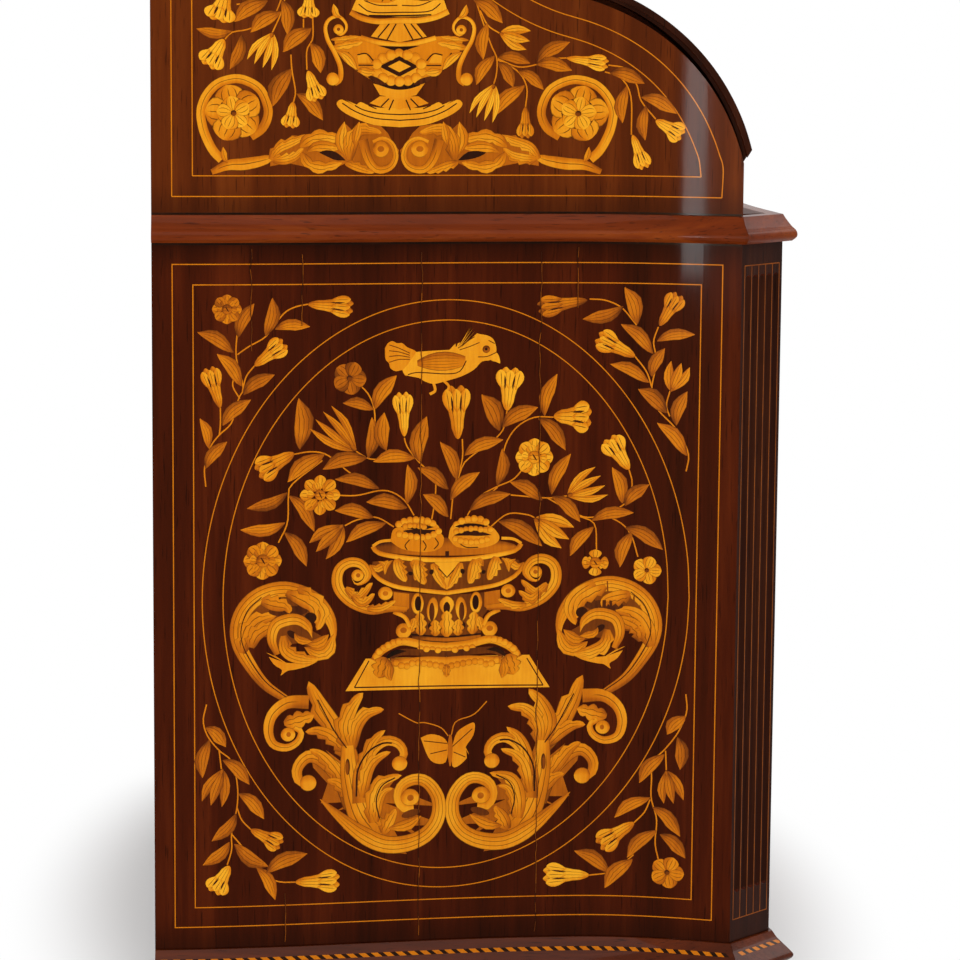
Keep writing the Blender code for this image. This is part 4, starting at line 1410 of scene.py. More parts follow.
BAND, DISC, PETAL, LEAF = Outline.BAND, Outline.DISC, Outline.PETAL, Outline.LEAF
HALF_WIDTHS: dict[Outline, Callable[[float], float]] = {
    Outline.TAPER: lambda s: 1.0 - 0.62 * s,
    PETAL: lambda s: sin(pi * s**1.45) ** 0.62,
    Outline.BELL: lambda s: 0.46 * min(s / 0.25, 1.0) ** 0.5 + 0.54 * max(0.0, (s - 0.3) / 0.7) ** 1.3,
    DISC: lambda s: sqrt(max(0.0, 1 - (2 * s - 1) ** 2)),
    Outline.THORN: lambda s: 1 - s,
    Outline.FROND: lambda s: (
        sin(pi * min(s * 0.94 + 0.06, 1.0)) ** 0.6 * (0.62 + 0.38 * abs(sin(3 * pi * s)))
    ),
    Outline.BODY: lambda s: sin(pi * (0.06 + 0.82 * s)) ** 0.8,
    Outline.RIBBON: lambda s: (0.45 + 0.55 * sin(pi * s)) * min(1.0, (1 - s) / 0.16),
    Outline.COMMA: lambda s: min(s / 0.25, 1.0) ** 0.7 * (1 - 0.5 * max(0.0, (s - 0.4) / 0.6)),
}
FLOWERS = (Outline.RUFFLED, Outline.TULIP, Outline.LILY, Outline.STAR, Outline.ROSE, Outline.TWIN)


@dataclass(frozen=True)
class Cut:
    """One plate or flower of a marquetry table, in millimetres on its panel."""

    outline: Outline
    points: Points
    width: float = 1.2
    tone: float = 0.7
    rows: float = 0.0


@dataclass(frozen=True)
class Crop:
    """An enlarged part of the photograph on which plates were measured."""

    left: float
    top: float
    zoom: float
    digits: tuple[int, ...] = (0,)
    pixel: float = 0.885

    def spot(self, x: float, y: float) -> Point:
        """A point of the crop on the side's panel.

        Args:
            x: Pixels from the crop's left edge.
            y: Pixels from its top.

        Returns:
            Depth and height in millimetres, rounded to each number of digits in turn.
        """
        place = VIEW.on_side(self.left + x / self.zoom, self.top + y / self.zoom)
        for digits in self.digits:
            place = round(place[0], digits), round(place[1], digits)
        return place

    def width(self, pixels: float) -> float:
        """A width in millimetres, rounded to tenths where it is small or the crop is fine."""
        width = pixels * self.pixel / self.zoom
        return round(width, self.digits[0] or int(abs(width) < 9))


def read_cuts(table: str, crop: Crop | None = None) -> list[Cut]:
    """Read a table of plates.

    Args:
        table: A row to a plate: its outline, then its width, tone and engraved rows where they
            aren't the usual ones, then its points. What a row leaves out before its first word
            is as in the last row. An indented row goes on.
        crop: The crop on which it was measured, or None where it is in millimetres.

    Returns:
        The plates in order.
    """
    rows: list[list[str]] = []
    for line in table.strip().splitlines():
        words = line.split()
        if line.startswith(" "):
            rows[-1] += words
        elif words[0].isalpha():
            rows.append(words)
        else:
            head = [w for w in rows[-1] if "," not in w]
            rows.append((head if "," in words[0] else head[:1]) + words)
    found = []
    for first, *words in rows:
        values = [float(w) for w in words if "," not in w]
        points = [tuple(map(float, w.split(","))) for w in words if "," in w]
        if crop:
            values[:1] = [crop.width(v) for v in values[:1]]
            points = [crop.spot(*p) for p in points]
        found.append(Cut(Outline[first], tuple(points), *values))
    return found


@dataclass(frozen=True)
class Shift:
    """Moves a layout about its own middle: mirrored first, then turned, scaled and placed."""

    middle: Point = (0.0, 0.0)
    to: Point = (0.0, 0.0)
    scale: float = 1.0
    turn: float = 0.0
    mirror: bool = False
    stretch: float = 1.0

    def at(self, point: Point) -> Point:
        """Where a point of the layout lands.

        Args:
            point: The point.

        Returns:
            Its new place.
        """
        x, y = point[0] - self.middle[0], point[1] - self.middle[1]
        x *= -self.stretch if self.mirror else self.stretch
        c, s = cos(self.turn) * self.scale, sin(self.turn) * self.scale
        return self.to[0] + c * x - s * y, self.to[1] + s * x + c * y


STAY = Shift()


@dataclass(frozen=True)
class SideGround:
    """A side's outer face: depth from the back and height, in millimetres."""

    side: int

    def place(self, a: float, b: float, lift: float) -> Vector:
        """A place on the face, lifted by lift metres."""
        p = Vector((PLAN.side_x(a * MM), a * MM)) + PLAN.side_normal(a * MM) * lift
        return PLAN.place(self.side * p.x, p.y, b * MM)


@dataclass(frozen=True)
class CantGround:
    """A post's canted face: distance from its outer edge and height, in millimetres."""

    side: int

    def place(self, a: float, b: float, lift: float) -> Vector:
        """A place on the face, lifted by lift metres."""
        p = OUTER_CORNER + CANT_RUN * a * MM + CANT_NORMAL * lift
        return PLAN.place(self.side * p.x, p.y, b * MM)


class FrontGround:
    """The serpentine front: distance from the middle and height, in millimetres."""

    def place(self, a: float, b: float, lift: float) -> Vector:
        """A place on the face, lifted by lift metres."""
        p = Vector((a * MM, PLAN.front(a * MM))) + PLAN.front_normal(a * MM) * lift
        return PLAN.place(p.x, p.y, b * MM)


class FallGround:
    """The lid's outer face: distance from the middle and from the hinge, in millimetres."""

    def place(self, a: float, b: float, lift: float) -> Vector:
        """A place on the face, lifted by lift metres."""
        depth, z = OGEE.place(b * MM, FALL_OUT(b * MM) + lift)
        return PLAN.place(a * MM, depth, z)


class TopGround:
    """The top board: distance from the middle and from the back, in millimetres."""

    def place(self, a: float, b: float, lift: float) -> Vector:
        """A place on the board, lifted by lift metres."""
        return PLAN.place(a * MM, b * MM, Z.cheek + GAP + Z.top + lift)


@dataclass(frozen=True)
class SlopeGround:
    """The base moulding's upper slope: distance along a run and up the slope, in millimetres."""

    run: Run
    lean: float = 0.95

    def place(self, a: float, b: float, lift: float) -> Vector:
        """A place on the slope.

        Args:
            a: The distance along the run, less the lean.
            b: The distance up the slope.
            lift: How far off the slope, in metres.

        Returns:
            The place.
        """
        line, lengths = RUN_LINES[self.run]
        reach = (a - self.lean * b) * MM
        k = int(np.clip(np.searchsorted(lengths, reach) - 1, 0, len(lengths) - 2))
        t = (reach - lengths[k]) / (lengths[k + 1] - lengths[k])
        spot, way = line[k][0].lerp(line[k + 1][0], t), line[k][1].lerp(line[k + 1][1], t)
        low, high = SLOPE
        rise = high - low
        up = low + rise * (b * MM / rise.length) + Vector((-rise.y, rise.x)).normalized() * lift
        p = spot + way * up.x
        return PLAN.place(self.run.side * p.x, p.y, Z.base - up.y)


class LeatherGround:
    """The lid's flat inside: distance from the middle and from the hinge, in millimetres."""

    def place(self, a: float, b: float, lift: float) -> Vector:
        """A place on the leather, lifted by lift metres."""
        depth, z = OGEE.place(b * MM, -lift)
        return PLAN.place(a * MM, depth, z)


Ground = SideGround | CantGround | FrontGround | FallGround | TopGround | SlopeGround | LeatherGround
SLOPE = [Vector(point) * Mouldings.base_out for point in Mouldings.base_shape[3:5]]


def run_line(run: Run) -> tuple[list[Station], np.ndarray]:
    """Measure a moulding's run.

    Args:
        run: Which run.

    Returns:
        Its stations, and how far along the run each is at the middle of the base's slope.
    """
    line = run.stations()
    spots = [place + way * (SLOPE[0].x + SLOPE[1].x) / 2 for place, way in line]
    steps = [0.0] + [(b - a).length for a, b in pairwise(spots)]
    return line, np.cumsum(steps)


RUN_LINES = {run: run_line(run) for run in Run}
FALL_OUT = OGEE.out_at(OGEE.shell)


class Spine:
    """A line that a strip follows, by shares of its length."""

    def __init__(self, points: Sequence[Point]) -> None:
        """Smooth the points and measure them.

        Args:
            points: The points.
        """
        self.line = np.array(flowing(points, 8) if len(points) > 2 else points, float)
        steps = np.linalg.norm(np.diff(self.line, axis=0), axis=1)
        self.reach = np.concatenate([[0.0], np.cumsum(steps)])
        self.length = float(self.reach[-1])

    def at(self, s: float) -> tuple[np.ndarray, np.ndarray]:
        """A place on the line.

        Args:
            s: The share of the length.

        Returns:
            The point, and the direction to its left.
        """
        before, here, after = (self.spot(min(max(s + d, 0.0), 1.0)) for d in (-0.01, 0.0, 0.01))
        run = (after - before) / (np.linalg.norm(after - before) or 1.0)
        return here, np.array((-run[1], run[0]))

    def spot(self, s: float) -> np.ndarray:
        """The point at a share of the length."""
        return np.array([np.interp(s * self.length, self.reach, self.line[:, k]) for k in (0, 1)])


class Marquetry:
    """Cut veneers let into one face, each a thin closed plate a hair proud of it."""

    sunk = 0.0004
    proud = 0.00005
    layer = 0.00004
    batch = 1500

    def __init__(self, ground: Ground, chord: float = 6.0) -> None:
        """Start with nothing cut.

        Args:
            ground: The face.
            chord: The longest step that its bends allow, in millimetres.
        """
        self.ground = ground
        self.chord = chord
        self.shift = STAY
        self.count = 0
        self.filled: list[BMesh] = []
        self.begin()

    def begin(self) -> None:
        """Start an empty mesh with the notes that the finish reads."""
        self.bm = bmesh.new()
        self.notes = {k: self.bm.verts.layers.float.new(k) for k in ("along", "across", "tone", "cuts")}

    def cut(self, table: Iterable[Cut], level: float = 1) -> None:
        """Cut a table of plates, each row over the last.

        Args:
            table: The plates.
            level: The lowest layer.
        """
        for k, row in enumerate(table):
            height = level + k / 4
            ends = [np.array(p) for p in row.points]
            match row.outline:
                case Outline.PLATE:
                    self.plate(row.tone, row.points, height)
                case Outline.SHAPE:
                    self.plate(row.tone, flowing([*row.points, row.points[0]], 3)[:-1], height)
                case Outline.BEADS:
                    self.beads(row, height)
                case Outline.SPRIG:
                    run = (ends[1] - ends[0]) * (0.10 if row.width > 0 else -0.10)
                    middle = (ends[0] + ends[1]) / 2 + np.array((-run[1], run[0]))
                    tone = 0.58 + 0.10 * (k * 7 % 5) / 4
                    self.strip(LEAF, row.width, tone, 4, (ends[0], middle, ends[1]), 1, 9)
                case outline if outline in FLOWERS:
                    self.flower(outline, *ends, row.width, row.tone)
                case _:
                    height = 0 if row.outline is Outline.STEM else height
                    self.strip(row.outline, row.width, row.tone, row.rows, row.points, height)

    def lay(self, rows: Iterable[tuple[Shift, list[Cut], float]]) -> None:
        """Cut tables one after the other.

        Args:
            rows: Each table, with how it is moved before it and its lowest layer after it.
        """
        for self.shift, table, level in rows:
            self.cut(table, level)
        self.shift = STAY

    def strip(
        self, outline: Outline, width: float, tone: float, rows: float, points: Sequence[Point],
        level: float = 1, steps: int = 0,
    ) -> None:
        """Cut one plate along a line.

        Args:
            outline: How it widens and narrows.
            width: Its widest, in millimetres; below 0 its two edges change places.
            tone: From 0, black, to 1, bright yellow.
            rows: 0 plain, 1 scorched at its edges, above that rows of engraved lines.
            points: The line that it follows.
            level: Which layer it lies in.
            steps: Steps along it, or 0 for as many as its length and bends need.
        """
        spine = Spine([self.shift.at(p) for p in points])
        width *= -self.shift.scale if self.shift.mirror else self.shift.scale
        bends = (len(points) - 1) * 4 if len(points) > 2 else 0
        steps = steps or max(outline.steps, bends, ceil(spine.length / self.chord))
        lanes = max(1 if rows == 0 else 2, ceil(abs(width) / self.chord))
        verts = bmesh.ops.create_grid(self.bm, x_segments=steps, y_segments=lanes, size=0.5)["verts"]
        known: dict[float, tuple] = {}
        for vert in verts:
            share, side = vert.co.x + 0.5, 2 * vert.co.y
            s = (1 - cos(pi * share)) / 2 if outline.eased else share
            if s not in known:
                known[s] = (*spine.at(s), outline.widths(s))
            spot, left, (one, other) = known[s]
            reach = side * width / 2 * (one if side * width > 0 else other)
            vert.co = (*(spot + left * reach), -self.sunk)
            for key, value in (("along", s), ("across", side), ("tone", tone), ("cuts", rows)):
                vert[self.notes[key]] = value
        self.thicken({f for v in verts for f in v.link_faces}, level)

    def plate(self, tone: float, points: Sequence[Point], level: float = 1) -> None:
        """Cut one plate to a drawn outline, crossed by seams so that it can bend.

        Args:
            tone: From 0, black, to 1, bright yellow.
            points: Its corners in order.
            level: Which layer it lies in.
        """
        places = [self.shift.at(p) for p in points]
        verts = [self.bm.verts.new((*p, -self.sunk)) for p in places]
        geom = [*verts, *bmesh.ops.contextual_create(self.bm, geom=verts)["faces"]]
        geom += geom[-1].edges
        for way in (0, 1):
            reach = [p[way] for p in places]
            across = (1 - way, way, 0)
            for a in np.arange(min(reach) + self.chord, max(reach), self.chord):
                plane = {"plane_co": (a, a, 0), "plane_no": across}
                geom = bmesh.ops.bisect_plane(self.bm, geom=geom, dist=1e-4, **plane)["geom"]
        for vert in (g for g in geom if isinstance(g, BMVert)):
            vert[self.notes["along"]], vert[self.notes["tone"]] = 0.5, tone
        self.thicken({g for g in geom if isinstance(g, BMFace)}, level)

    def thicken(self, faces: Iterable[BMFace], level: float) -> None:
        """Give flat faces their thickness.

        Args:
            faces: The faces of one plate.
            level: Which layer it lies in.
        """
        grown = bmesh.ops.extrude_face_region(self.bm, geom=list(faces))["geom"]
        lift = self.proud + level * self.layer + (self.count % 10) * self.layer / 45
        moved = [g for g in grown if isinstance(g, BMVert)]
        bmesh.ops.translate(self.bm, vec=(0, 0, lift + self.sunk), verts=moved)
        self.count += 1
        if len(self.bm.verts) > self.batch:
            self.filled.append(self.bm)
            self.begin()

    def beads(self, row: Cut, level: float) -> None:
        """Cut a row of touching discs along a line.

        Args:
            row: The line, and the discs' width and tone.
            level: The lowest layer.
        """
        spine = Spine(row.points)
        count = max(2, round(spine.length / (0.82 * row.width)))
        for k in range(count):
            odd = k % 2
            self.dot(spine.spot((k + 0.5) / count), row.width / 2, row.tone + 0.03 * odd, 1, level + odd)

    def dot(self, middle: Point, radius: float, tone: float, rows: float, level: float) -> None:
        """Cut a round plate."""
        ends = ((middle[0] - radius, middle[1]), (middle[0] + radius, middle[1]))
        self.strip(DISC, 2 * radius, tone, rows, ends, level)

    def ring(self, middle: Point, radii: Point, width: float, tone: float) -> None:
        """Cut an oval string.

        Args:
            middle: Its centre.
            radii: Its half width and half height.
            width: The string's width.
            tone: Its tone.
        """
        turns = [2 * pi * k / 48 for k in range(49)]
        points = [(middle[0] + radii[0] * cos(t), middle[1] + radii[1] * sin(t)) for t in turns]
        self.strip(BAND, width, tone, 0, points, 0, 288)

    def box(self, low: Point, high: Point, width: float, tone: float) -> None:
        """Cut a rectangular string.

        Args:
            low: Its lower left corner.
            high: Its upper right corner.
            width: The string's width.
            tone: Its tone.
        """
        corners = [np.array(c) for c in (low, (high[0], low[1]), high, (low[0], high[1]), low)]
        for k, (start, end) in enumerate(pairwise(corners)):
            run = np.sign(end - start) * width / 2 * (1 if k % 2 == 0 else -1)
            self.strip(BAND, width, tone, 0, (start - run, end + run), 0)

    def flower(
        self, kind: Outline, base: np.ndarray, mouth: np.ndarray, width: float, tone: float, level: float = 2
    ) -> None:
        """Cut one flower.

        Args:
            kind: Its kind.
            base: Where its stem joins, or its middle.
            mouth: The middle of its far edge.
            width: Its width, or its radius about its middle.
            tone: Its tone.
            level: Its lowest layer.
        """
        axis = mouth - base
        side = np.array((-axis[1], axis[0])) / (np.linalg.norm(axis) or 1.0) * width
        even = float(np.linalg.norm(axis)) / width

        def at(along: float, across: float) -> Point:
            """A place in the flower's own directions."""
            return tuple(base + axis * along + side * across)

        match kind:
            case Outline.RUFFLED:
                for off in (-0.17, 0.17):
                    self.strip(PETAL, 0.42 * width, tone - 0.14, 2, (at(0.45, off * 0.8), at(1.03, off)), 1)
                self.strip(Outline.BELL, 0.92 * width, tone, 4, (at(0, 0), at(0.86, 0)), 2)
                for k, off in enumerate((-0.34, 0.34, 0.0)):
                    ends = (at(0.50, off * 0.7), at(0.96, off))
                    self.strip(PETAL, 0.40 * width, tone + 0.04, 2, ends, 3 + k % 2)
                for off in (-0.17, 0.18):
                    self.strip(LEAF, 0.07 * width, 0.16, 0, (at(0.52, off * 0.7), at(0.84, off)), 5)
            case Outline.TULIP | Outline.LILY:
                tulip = kind is Outline.TULIP
                for k, off in enumerate((-0.42, 0.42, -0.02) if tulip else (-0.46, 0.46, -0.17, 0.15)):
                    points = (at(0.0, off * 0.12), at(0.5, off * 0.80), at(1.02 - abs(off) * 0.12, off))
                    wide = (0.44 if tulip else 0.24) * width * (1 if off < 0 else -1)
                    self.strip(LEAF, wide, tone, 3, points, 2 + k % 3, 9)
                self.strip(DISC, 0.14 * width, 0.5, 1, (at(-0.04, 0), at(0.12, 0)), 5)
            case Outline.STAR:
                for k in range(5):
                    turn = 2 * pi * (k + 0.2) / 5
                    tip = at(cos(turn), sin(turn) * even)
                    self.strip(PETAL, 1.06 * width, tone, 4, (at(0, 0), tip), level + k % 3)
                self.dot(at(0, 0), 0.17 * width, 0.34, 1, level + 3)
            case _:
                count = 8 if kind is Outline.ROSE else 4
                for reach, number, first in ((1.0, count, 0.0), (0.68, count - 2, 0.4)):
                    for k in range(number):
                        turn = 2 * pi * (k + first) / number
                        tip = at(reach * cos(turn), reach * sin(turn) * even)
                        root = at(0.25 * cos(turn), 0.25 * sin(turn) * even)
                        shade = tone - 0.06 * (k % 2)
                        self.strip(PETAL, 0.8 * reach * width, shade, 3, (root, tip), 2 + (reach < 1) + k % 2)
                self.dot(at(0, 0), 0.34 * width, tone - 0.14, 3, 5)
                self.strip(DISC, 0.08 * width, 0.2, 0, (at(-0.18, -0.1), at(0.18, 0.12)), 6)

    def settle(self, name: str, body: str = "case") -> None:
        """Bend every plate onto the face and make one piece of them.

        Args:
            name: The piece's name.
            body: The body that it rides on.
        """
        for part in self.filled:
            join(self.bm, part)
        for vert in self.bm.verts:
            vert.co = self.ground.place(*vert.co)
        bmesh.ops.remove_doubles(self.bm, verts=self.bm.verts, dist=2e-7)
        bmesh.ops.dissolve_degenerate(self.bm, edges=self.bm.edges, dist=2e-7)
        bmesh.ops.recalc_face_normals(self.bm, faces=self.bm.faces)
        Seat(body, INLAY).put(name, self.bm, crease=40)


TOP_LEFT, TOP_RIGHT = (Crop(x, 240, 4.357, pixel=0.88) for x in (150, 440))
LOW_LEFT, LOW_RIGHT = (Crop(x, 590, 4.357, pixel=0.88) for x in (150, 440))
CHEEK_LEFT = Crop(150, 0, 5.227, pixel=0.88)
CHEEK_RIGHT = Crop(440, 0, 4.48, pixel=0.88)
SCROLLS = Crop(225, 570, 5.4087)
URN = Crop(330, 500, 6.817, (1, 0))
CHEEK_URN = Crop(310, 0, 8.2526, (1, 0))
CHEEK_SCROLL = Crop(190, 60, 7.467)
PERCH = Crop(380, 320, 12.06, (1,))
WHOLE = Crop(0, 0, 1.0, (1, 0))

# Tables that name a crop hold places measured on it. The others are in millimetres.
TOP_LEFT_SPRAY = read_cuts("""
STEM 243,1075 240,990 262,905 300,850 355,795 387,690 404,640 378,510 380,400 378,370
378,500 430,465 500,425 540,375 590,315 640,288 688,281
300,850 306,800 306,732
390,690 363,640 365,600
404,640 420,595 455,550
SPRIG 66 385,425 455,275
-62 503,418 533,250
56 543,390 700,380
-62 368,492 207,400
403,635 292,495
66 405,675 543,588
315,808 442,695
-50 258,910 218,775
60 243,995 337,880
RUFFLED 100 .8 688,281 880,292
100 .85 455,550 585,448
92 .8 305,732 258,562
ROSE 66 .7 333,302 333,368
""", TOP_LEFT)
TOP_RIGHT_SPRAY = read_cuts("""
STEM 1072,1010 1082,940 1060,870 1020,815 940,730 925,650 938,560 938,500 932,440 950,378
650,255 720,260 790,290 840,345 858,372
850,508 900,570 925,640
1003,655 985,720 1000,770
SPRIG -72 862,365 803,205
62 800,290 622,345
-66 932,495 790,365
56 945,440 1110,410
58 922,595 980,470
-60 915,620 742,538
-72 990,755 862,650
62 1030,810 1080,660
-66 1080,940 947,795
RUFFLED 96 .75 955,372 1040,238
108 .85 852,508 690,422
TULIP 100 .75 1005,658 1050,535
RUFFLED 100 .62 640,262 432,294
""", TOP_RIGHT)
LOW_LEFT_SPRAY = read_cuts("""
STEM 245,500 232,570 250,640 300,700 355,745 378,840 378,940 355,1060 358,1130 335,1197
310,780 300,700
440,1045 400,1000 378,950
632,1275 560,1270 500,1240 420,1140 357,1065
SPRIG 62 240,600 332,685
-66 258,650 230,820
66 318,740 433,848
385,890 498,1000
60 375,975 268,1095
345,1098 228,1200
-70 368,1105 515,1208
72 505,1235 688,1150
60 465,1210 548,1350
TULIP 110 .6 315,785 268,940
RUFFLED 92 .8 440,1045 572,1108
112 1 345,1200 278,1318
108 .95 632,1275 822,1265
""", LOW_LEFT)
LOW_RIGHT_SPRAY = read_cuts("""
STEM 1070,455 1075,530 1040,620 985,690 930,750 920,830 920,910 945,1000 938,1100 952,1172
985,792 985,700
848,1012 890,970 917,915
648,1240 740,1230 800,1190 842,1155
SPRIG -62 1070,550 990,630
66 1035,640 1045,785
-66 980,715 870,840
-60 915,905 758,990
66 925,945 1047,1075
-66 942,1045 812,1165
66 955,1065 1070,1170
-70 740,1228 582,1135
-72 838,1170 715,1300
TULIP 105 .6 985,790 1018,930
RUFFLED 112 .85 848,1012 692,1112
STAR 70 .75 990,1230 990,1300
RUFFLED 112 1 648,1240 456,1240
""", LOW_RIGHT)
BOUQUET_LEFT = read_cuts("""
STEM 925,640 955,675 975,735 985,850 1030,918
890,915 950,950 1010,955
628,933 700,922 770,935 850,1000 895,1030
790,1112 900,1115 1000,1092 1060,1100 1110,1140 1148,1200
848,1245 900,1220 985,1210 1065,1250
560,1320 600,1230 605,1110 625,1060 750,960
1110,860 1125,905 1180,975 1240,1030 1245,1120 1228,1215
SPRIG 74 983,735 1075,590
-52 975,738 838,710
74 1030,918 1022,750
-70 950,950 965,770
-88 652,915 650,690
-62 1155,950 970,965
-74 948,945 750,1000
-76 760,930 600,1055
-60 998,1083 805,1040
-68 1122,1168 943,1140
-58 1120,1150 1120,980
-62 975,1210 805,1178
1030,1230 852,1318
60 597,1100 422,1172
64 605,1115 715,1270
58 590,1230 392,1262
64 582,1275 680,1425
86 1175,965 1205,770
-64 1300,1085 1168,990
-62 1300,1205 1190,1105
STAR 75 .55 868,600 868,675
LILY 150 .7 892,915 735,765
RUFFLED 122 .8 628,930 470,1012
ROSE 70 .85 740,1112 740,1200
TULIP 125 .62 838,1245 725,1360
ROSE 84 .8 490,1400 490,1482
RUFFLED 94 1 1110,858 1098,668
""", TOP_LEFT)
BOUQUET_RIGHT = read_cuts("""
STEM 292,742 275,820 240,870
497,770 415,770 345,805 300,860 275,930 255,1070 190,1110
368,992 320,1045 240,1080 170,1120 120,1200
560,1112 465,1125 310,1110
825,1002 838,1060 820,1130 775,1170 715,1195 620,1205 465,1125
684,1348 675,1240 612,1205
862,1380 835,1290 790,1235 715,1195
415,1212 380,1197 300,1195 230,1240 215,1262
97,866 97,960 60,1080 48,1215
240,870 140,940 95,990 55,1120
SPRIG -88 262,830 180,670
74 270,815 430,730
66 455,765 513,585
70 425,775 545,915
66 105,940 275,868
-60 250,1075 270,910
-66 75,1045 0,880
66 48,1135 175,1010
130,1180 310,1105
485,1110 570,930
-66 450,1135 305,1055
66 485,1120 612,1230
-62 795,1150 752,990
66 805,1160 912,1065
60 660,1225 845,1190
70 805,1255 972,1350
-66 833,1270 782,1425
-58 668,1250 567,1375
74 255,1225 447,1335
RUFFLED 128 1 293,742 310,562
148 .9 497,768 655,770
ROSE 84 .95 412,945 412,1028
LILY 150 .85 560,1115 712,1045
RUFFLED 118 .95 824,1002 735,862
TWIN 74 .85 678,1407 678,1464
STAR 60 .9 903,1440 903,1500
TULIP 130 .85 415,1215 560,1300
RUFFLED 128 .85 80,866 72,640
""", TOP_RIGHT)
UPPER_LEFT_SPRAY = read_cuts("""
STEM 395,207 430,170 520,150 640,90 700,-40
640,172 690,60 715,-40
803,95 803,175
822,367 820,260 850,200 853,100 845,0
750,540 760,480 740,370 735,285
455,25 530,10 600,-40
SPRIG -90 615,0 440,115
-86 680,60 525,170
80 685,0 720,180
58 430,160 243,150
72 475,180 415,365
-88 845,145 695,275
76 840,225 890,385
-100 735,360 640,555
80 765,490 905,632
RUFFLED 175 .95 400,-40 355,105
150 1 385,205 305,345
LILY 150 .95 640,178 570,345
RUFFLED 120 1 832,-30 825,92
110 1 825,373 880,522
100 .9 747,533 728,668
""", CHEEK_LEFT)
UPPER_RIGHT_SPRAY = read_cuts("""
STEM 150,-40 175,45 230,200 252,260 252,330 240,385
268,152 215,115 180,45
565,258 500,262 430,290 350,300 258,262
385,478 390,390 350,320 258,268
752,293 830,310 880,380 900,450 965,535
738,322 810,350 855,430 858,605
SPRIG 72 150,0 280,105
-62 210,105 195,270
58 258,260 405,285
-62 245,250 160,380
62 258,280 328,392
56 350,320 465,400
-70 380,380 243,518
68 435,280 583,190
66 430,290 593,318
760,325 915,375
-62 835,385 815,550
66 900,435 1060,512
-58 920,470 918,632
TULIP 100 .85 268,150 402,180
LILY 120 1 242,383 180,535
RUFFLED 82 .75 383,478 380,618
78 .95 568,262 750,288
104 1 967,538 1085,608
84 1 863,605 915,752
""", CHEEK_RIGHT)
SIDE_SCROLL = read_cuts("""
PLATE 0 .34 79,384 83,407 97,423 113,430 132,427 145,415 150,401 149,384 142,373 129,378 134,393 126,404
 113,404 105,395 103,384 105,375 92,384
""") + read_cuts("""
RIBBON 92 .8 4 330,700 215,620 130,510 75,400 70,300 110,205 190,135 300,102 406,119 496,163 557,243 585,329
 571,415 524,464
FEATHER -122 .76 3 90,450 110,350 175,275 285,240
-104 .72 3 135,420 160,350 215,315 275,290
DISC 62 .22 235,228 445,222
FEATHER -104 .74 3 200,165 270,185 330,200 350,235
-110 .8 3 390,105 490,170 525,245 495,325
-86 .78 2 330,120 420,165 480,210 490,290
DISC 60 .1 430,262 495,255
LEAF 85 .78 4 430,420 500,455 555,430 590,345
60 .7 3 440,400 500,400 560,350
SHAPE 0 .78 225,448 270,462 300,490 350,505 430,500 508,490 450,520 380,540 335,545 302,572 305,540 262,512
RIBBON 70 .82 3 285,460 250,380 270,305 330,272 400,272 450,310 470,370
DISC 34 .12 335,330 385,365
FEATHER 95 .8 4 320,355 330,430 400,475 505,490
LEAF 45 .74 3 375,340 400,375 470,385
BAND 5 .12 330,690 225,605 145,500 95,400 88,310 125,215 200,150
""", SCROLLS)
FOOT_SCROLL = read_cuts("""
PLATE 0 .5 149,231 163,231 155,249 142,264 140,275 153,280 169,267 170,281 179,284 182,275 179,249 180,232
 190,232 195,244 206,252 219,254 211,244 207,229 211,212 227,207 248,212 258,224 257,207 245,192 227,181
 206,184 187,192 169,207 158,221
""") + read_cuts("""
FEATHER 150 .76 4 700,1030 600,880 515,740 455,600
100 .74 3 650,980 570,905 500,870 435,872
125 .8 4 670,970 640,850 680,740 745,662
-105 .8 4 685,965 705,850 765,775 860,755
TAPER 78 .82 2 450,715 340,720 262,780 236,865 262,940 330,960 395,930 408,875 365,845
FROND 105 .76 3 320,830 480,785
DISC 80 .86 1 303,890 383,890
28 .5 329,890 357,890
TAPER 120 .76 3 700,1270 625,1120 525,1025 445,1010 394,1072 400,1136 442,1160
FEATHER 90 .76 3 640,1150 570,1060 520,1000 458,968
DISC 92 .82 1 403,1152 493,1152
FEATHER 100 .72 3 720,1250 640,1180 600,1150 550,1138
TAPER 180 .8 4 830,1440 740,1330 690,1200 670,1080 662,950
105 .82 3 740,1260 735,1110 785,985 860,925 935,935 968,988 950,1043
FEATHER 85 .8 3 735,1140 760,1010 800,920 868,868
-85 .8 3 740,1230 770,1090 820,1020 895,985
DISC 86 .86 1 902,1048 986,1044
FEATHER 95 .82 3 795,1370 795,1250 835,1150 955,1112
-70 .78 3 820,1360 830,1260 860,1200 905,1185
COMMA 98 .84 4 515,1240 620,1335 735,1425 860,1482 985,1480 1090,1428 1148,1335 1150,1230 1100,1152
 1030,1130 962,1165 938,1230 965,1285 1020,1285
FEATHER 90 .76 3 850,1425 880,1360 925,1295
LEAF 70 .74 3 880,1400 970,1385 1060,1330
DISC 42 .28 955,1330 1055,1300
100 .84 1 950,1230 1050,1230
36 .5 982,1230 1018,1230
BAND 9 .08 712,1225 718,1090 770,990 850,938 900,938
7 .08 835,1345 815,1250 845,1165 920,1125
DISC 26 .4 1 662,1020 664,1110
BAND 6 .12 655,960 590,870 500,700
""", SCROLLS)
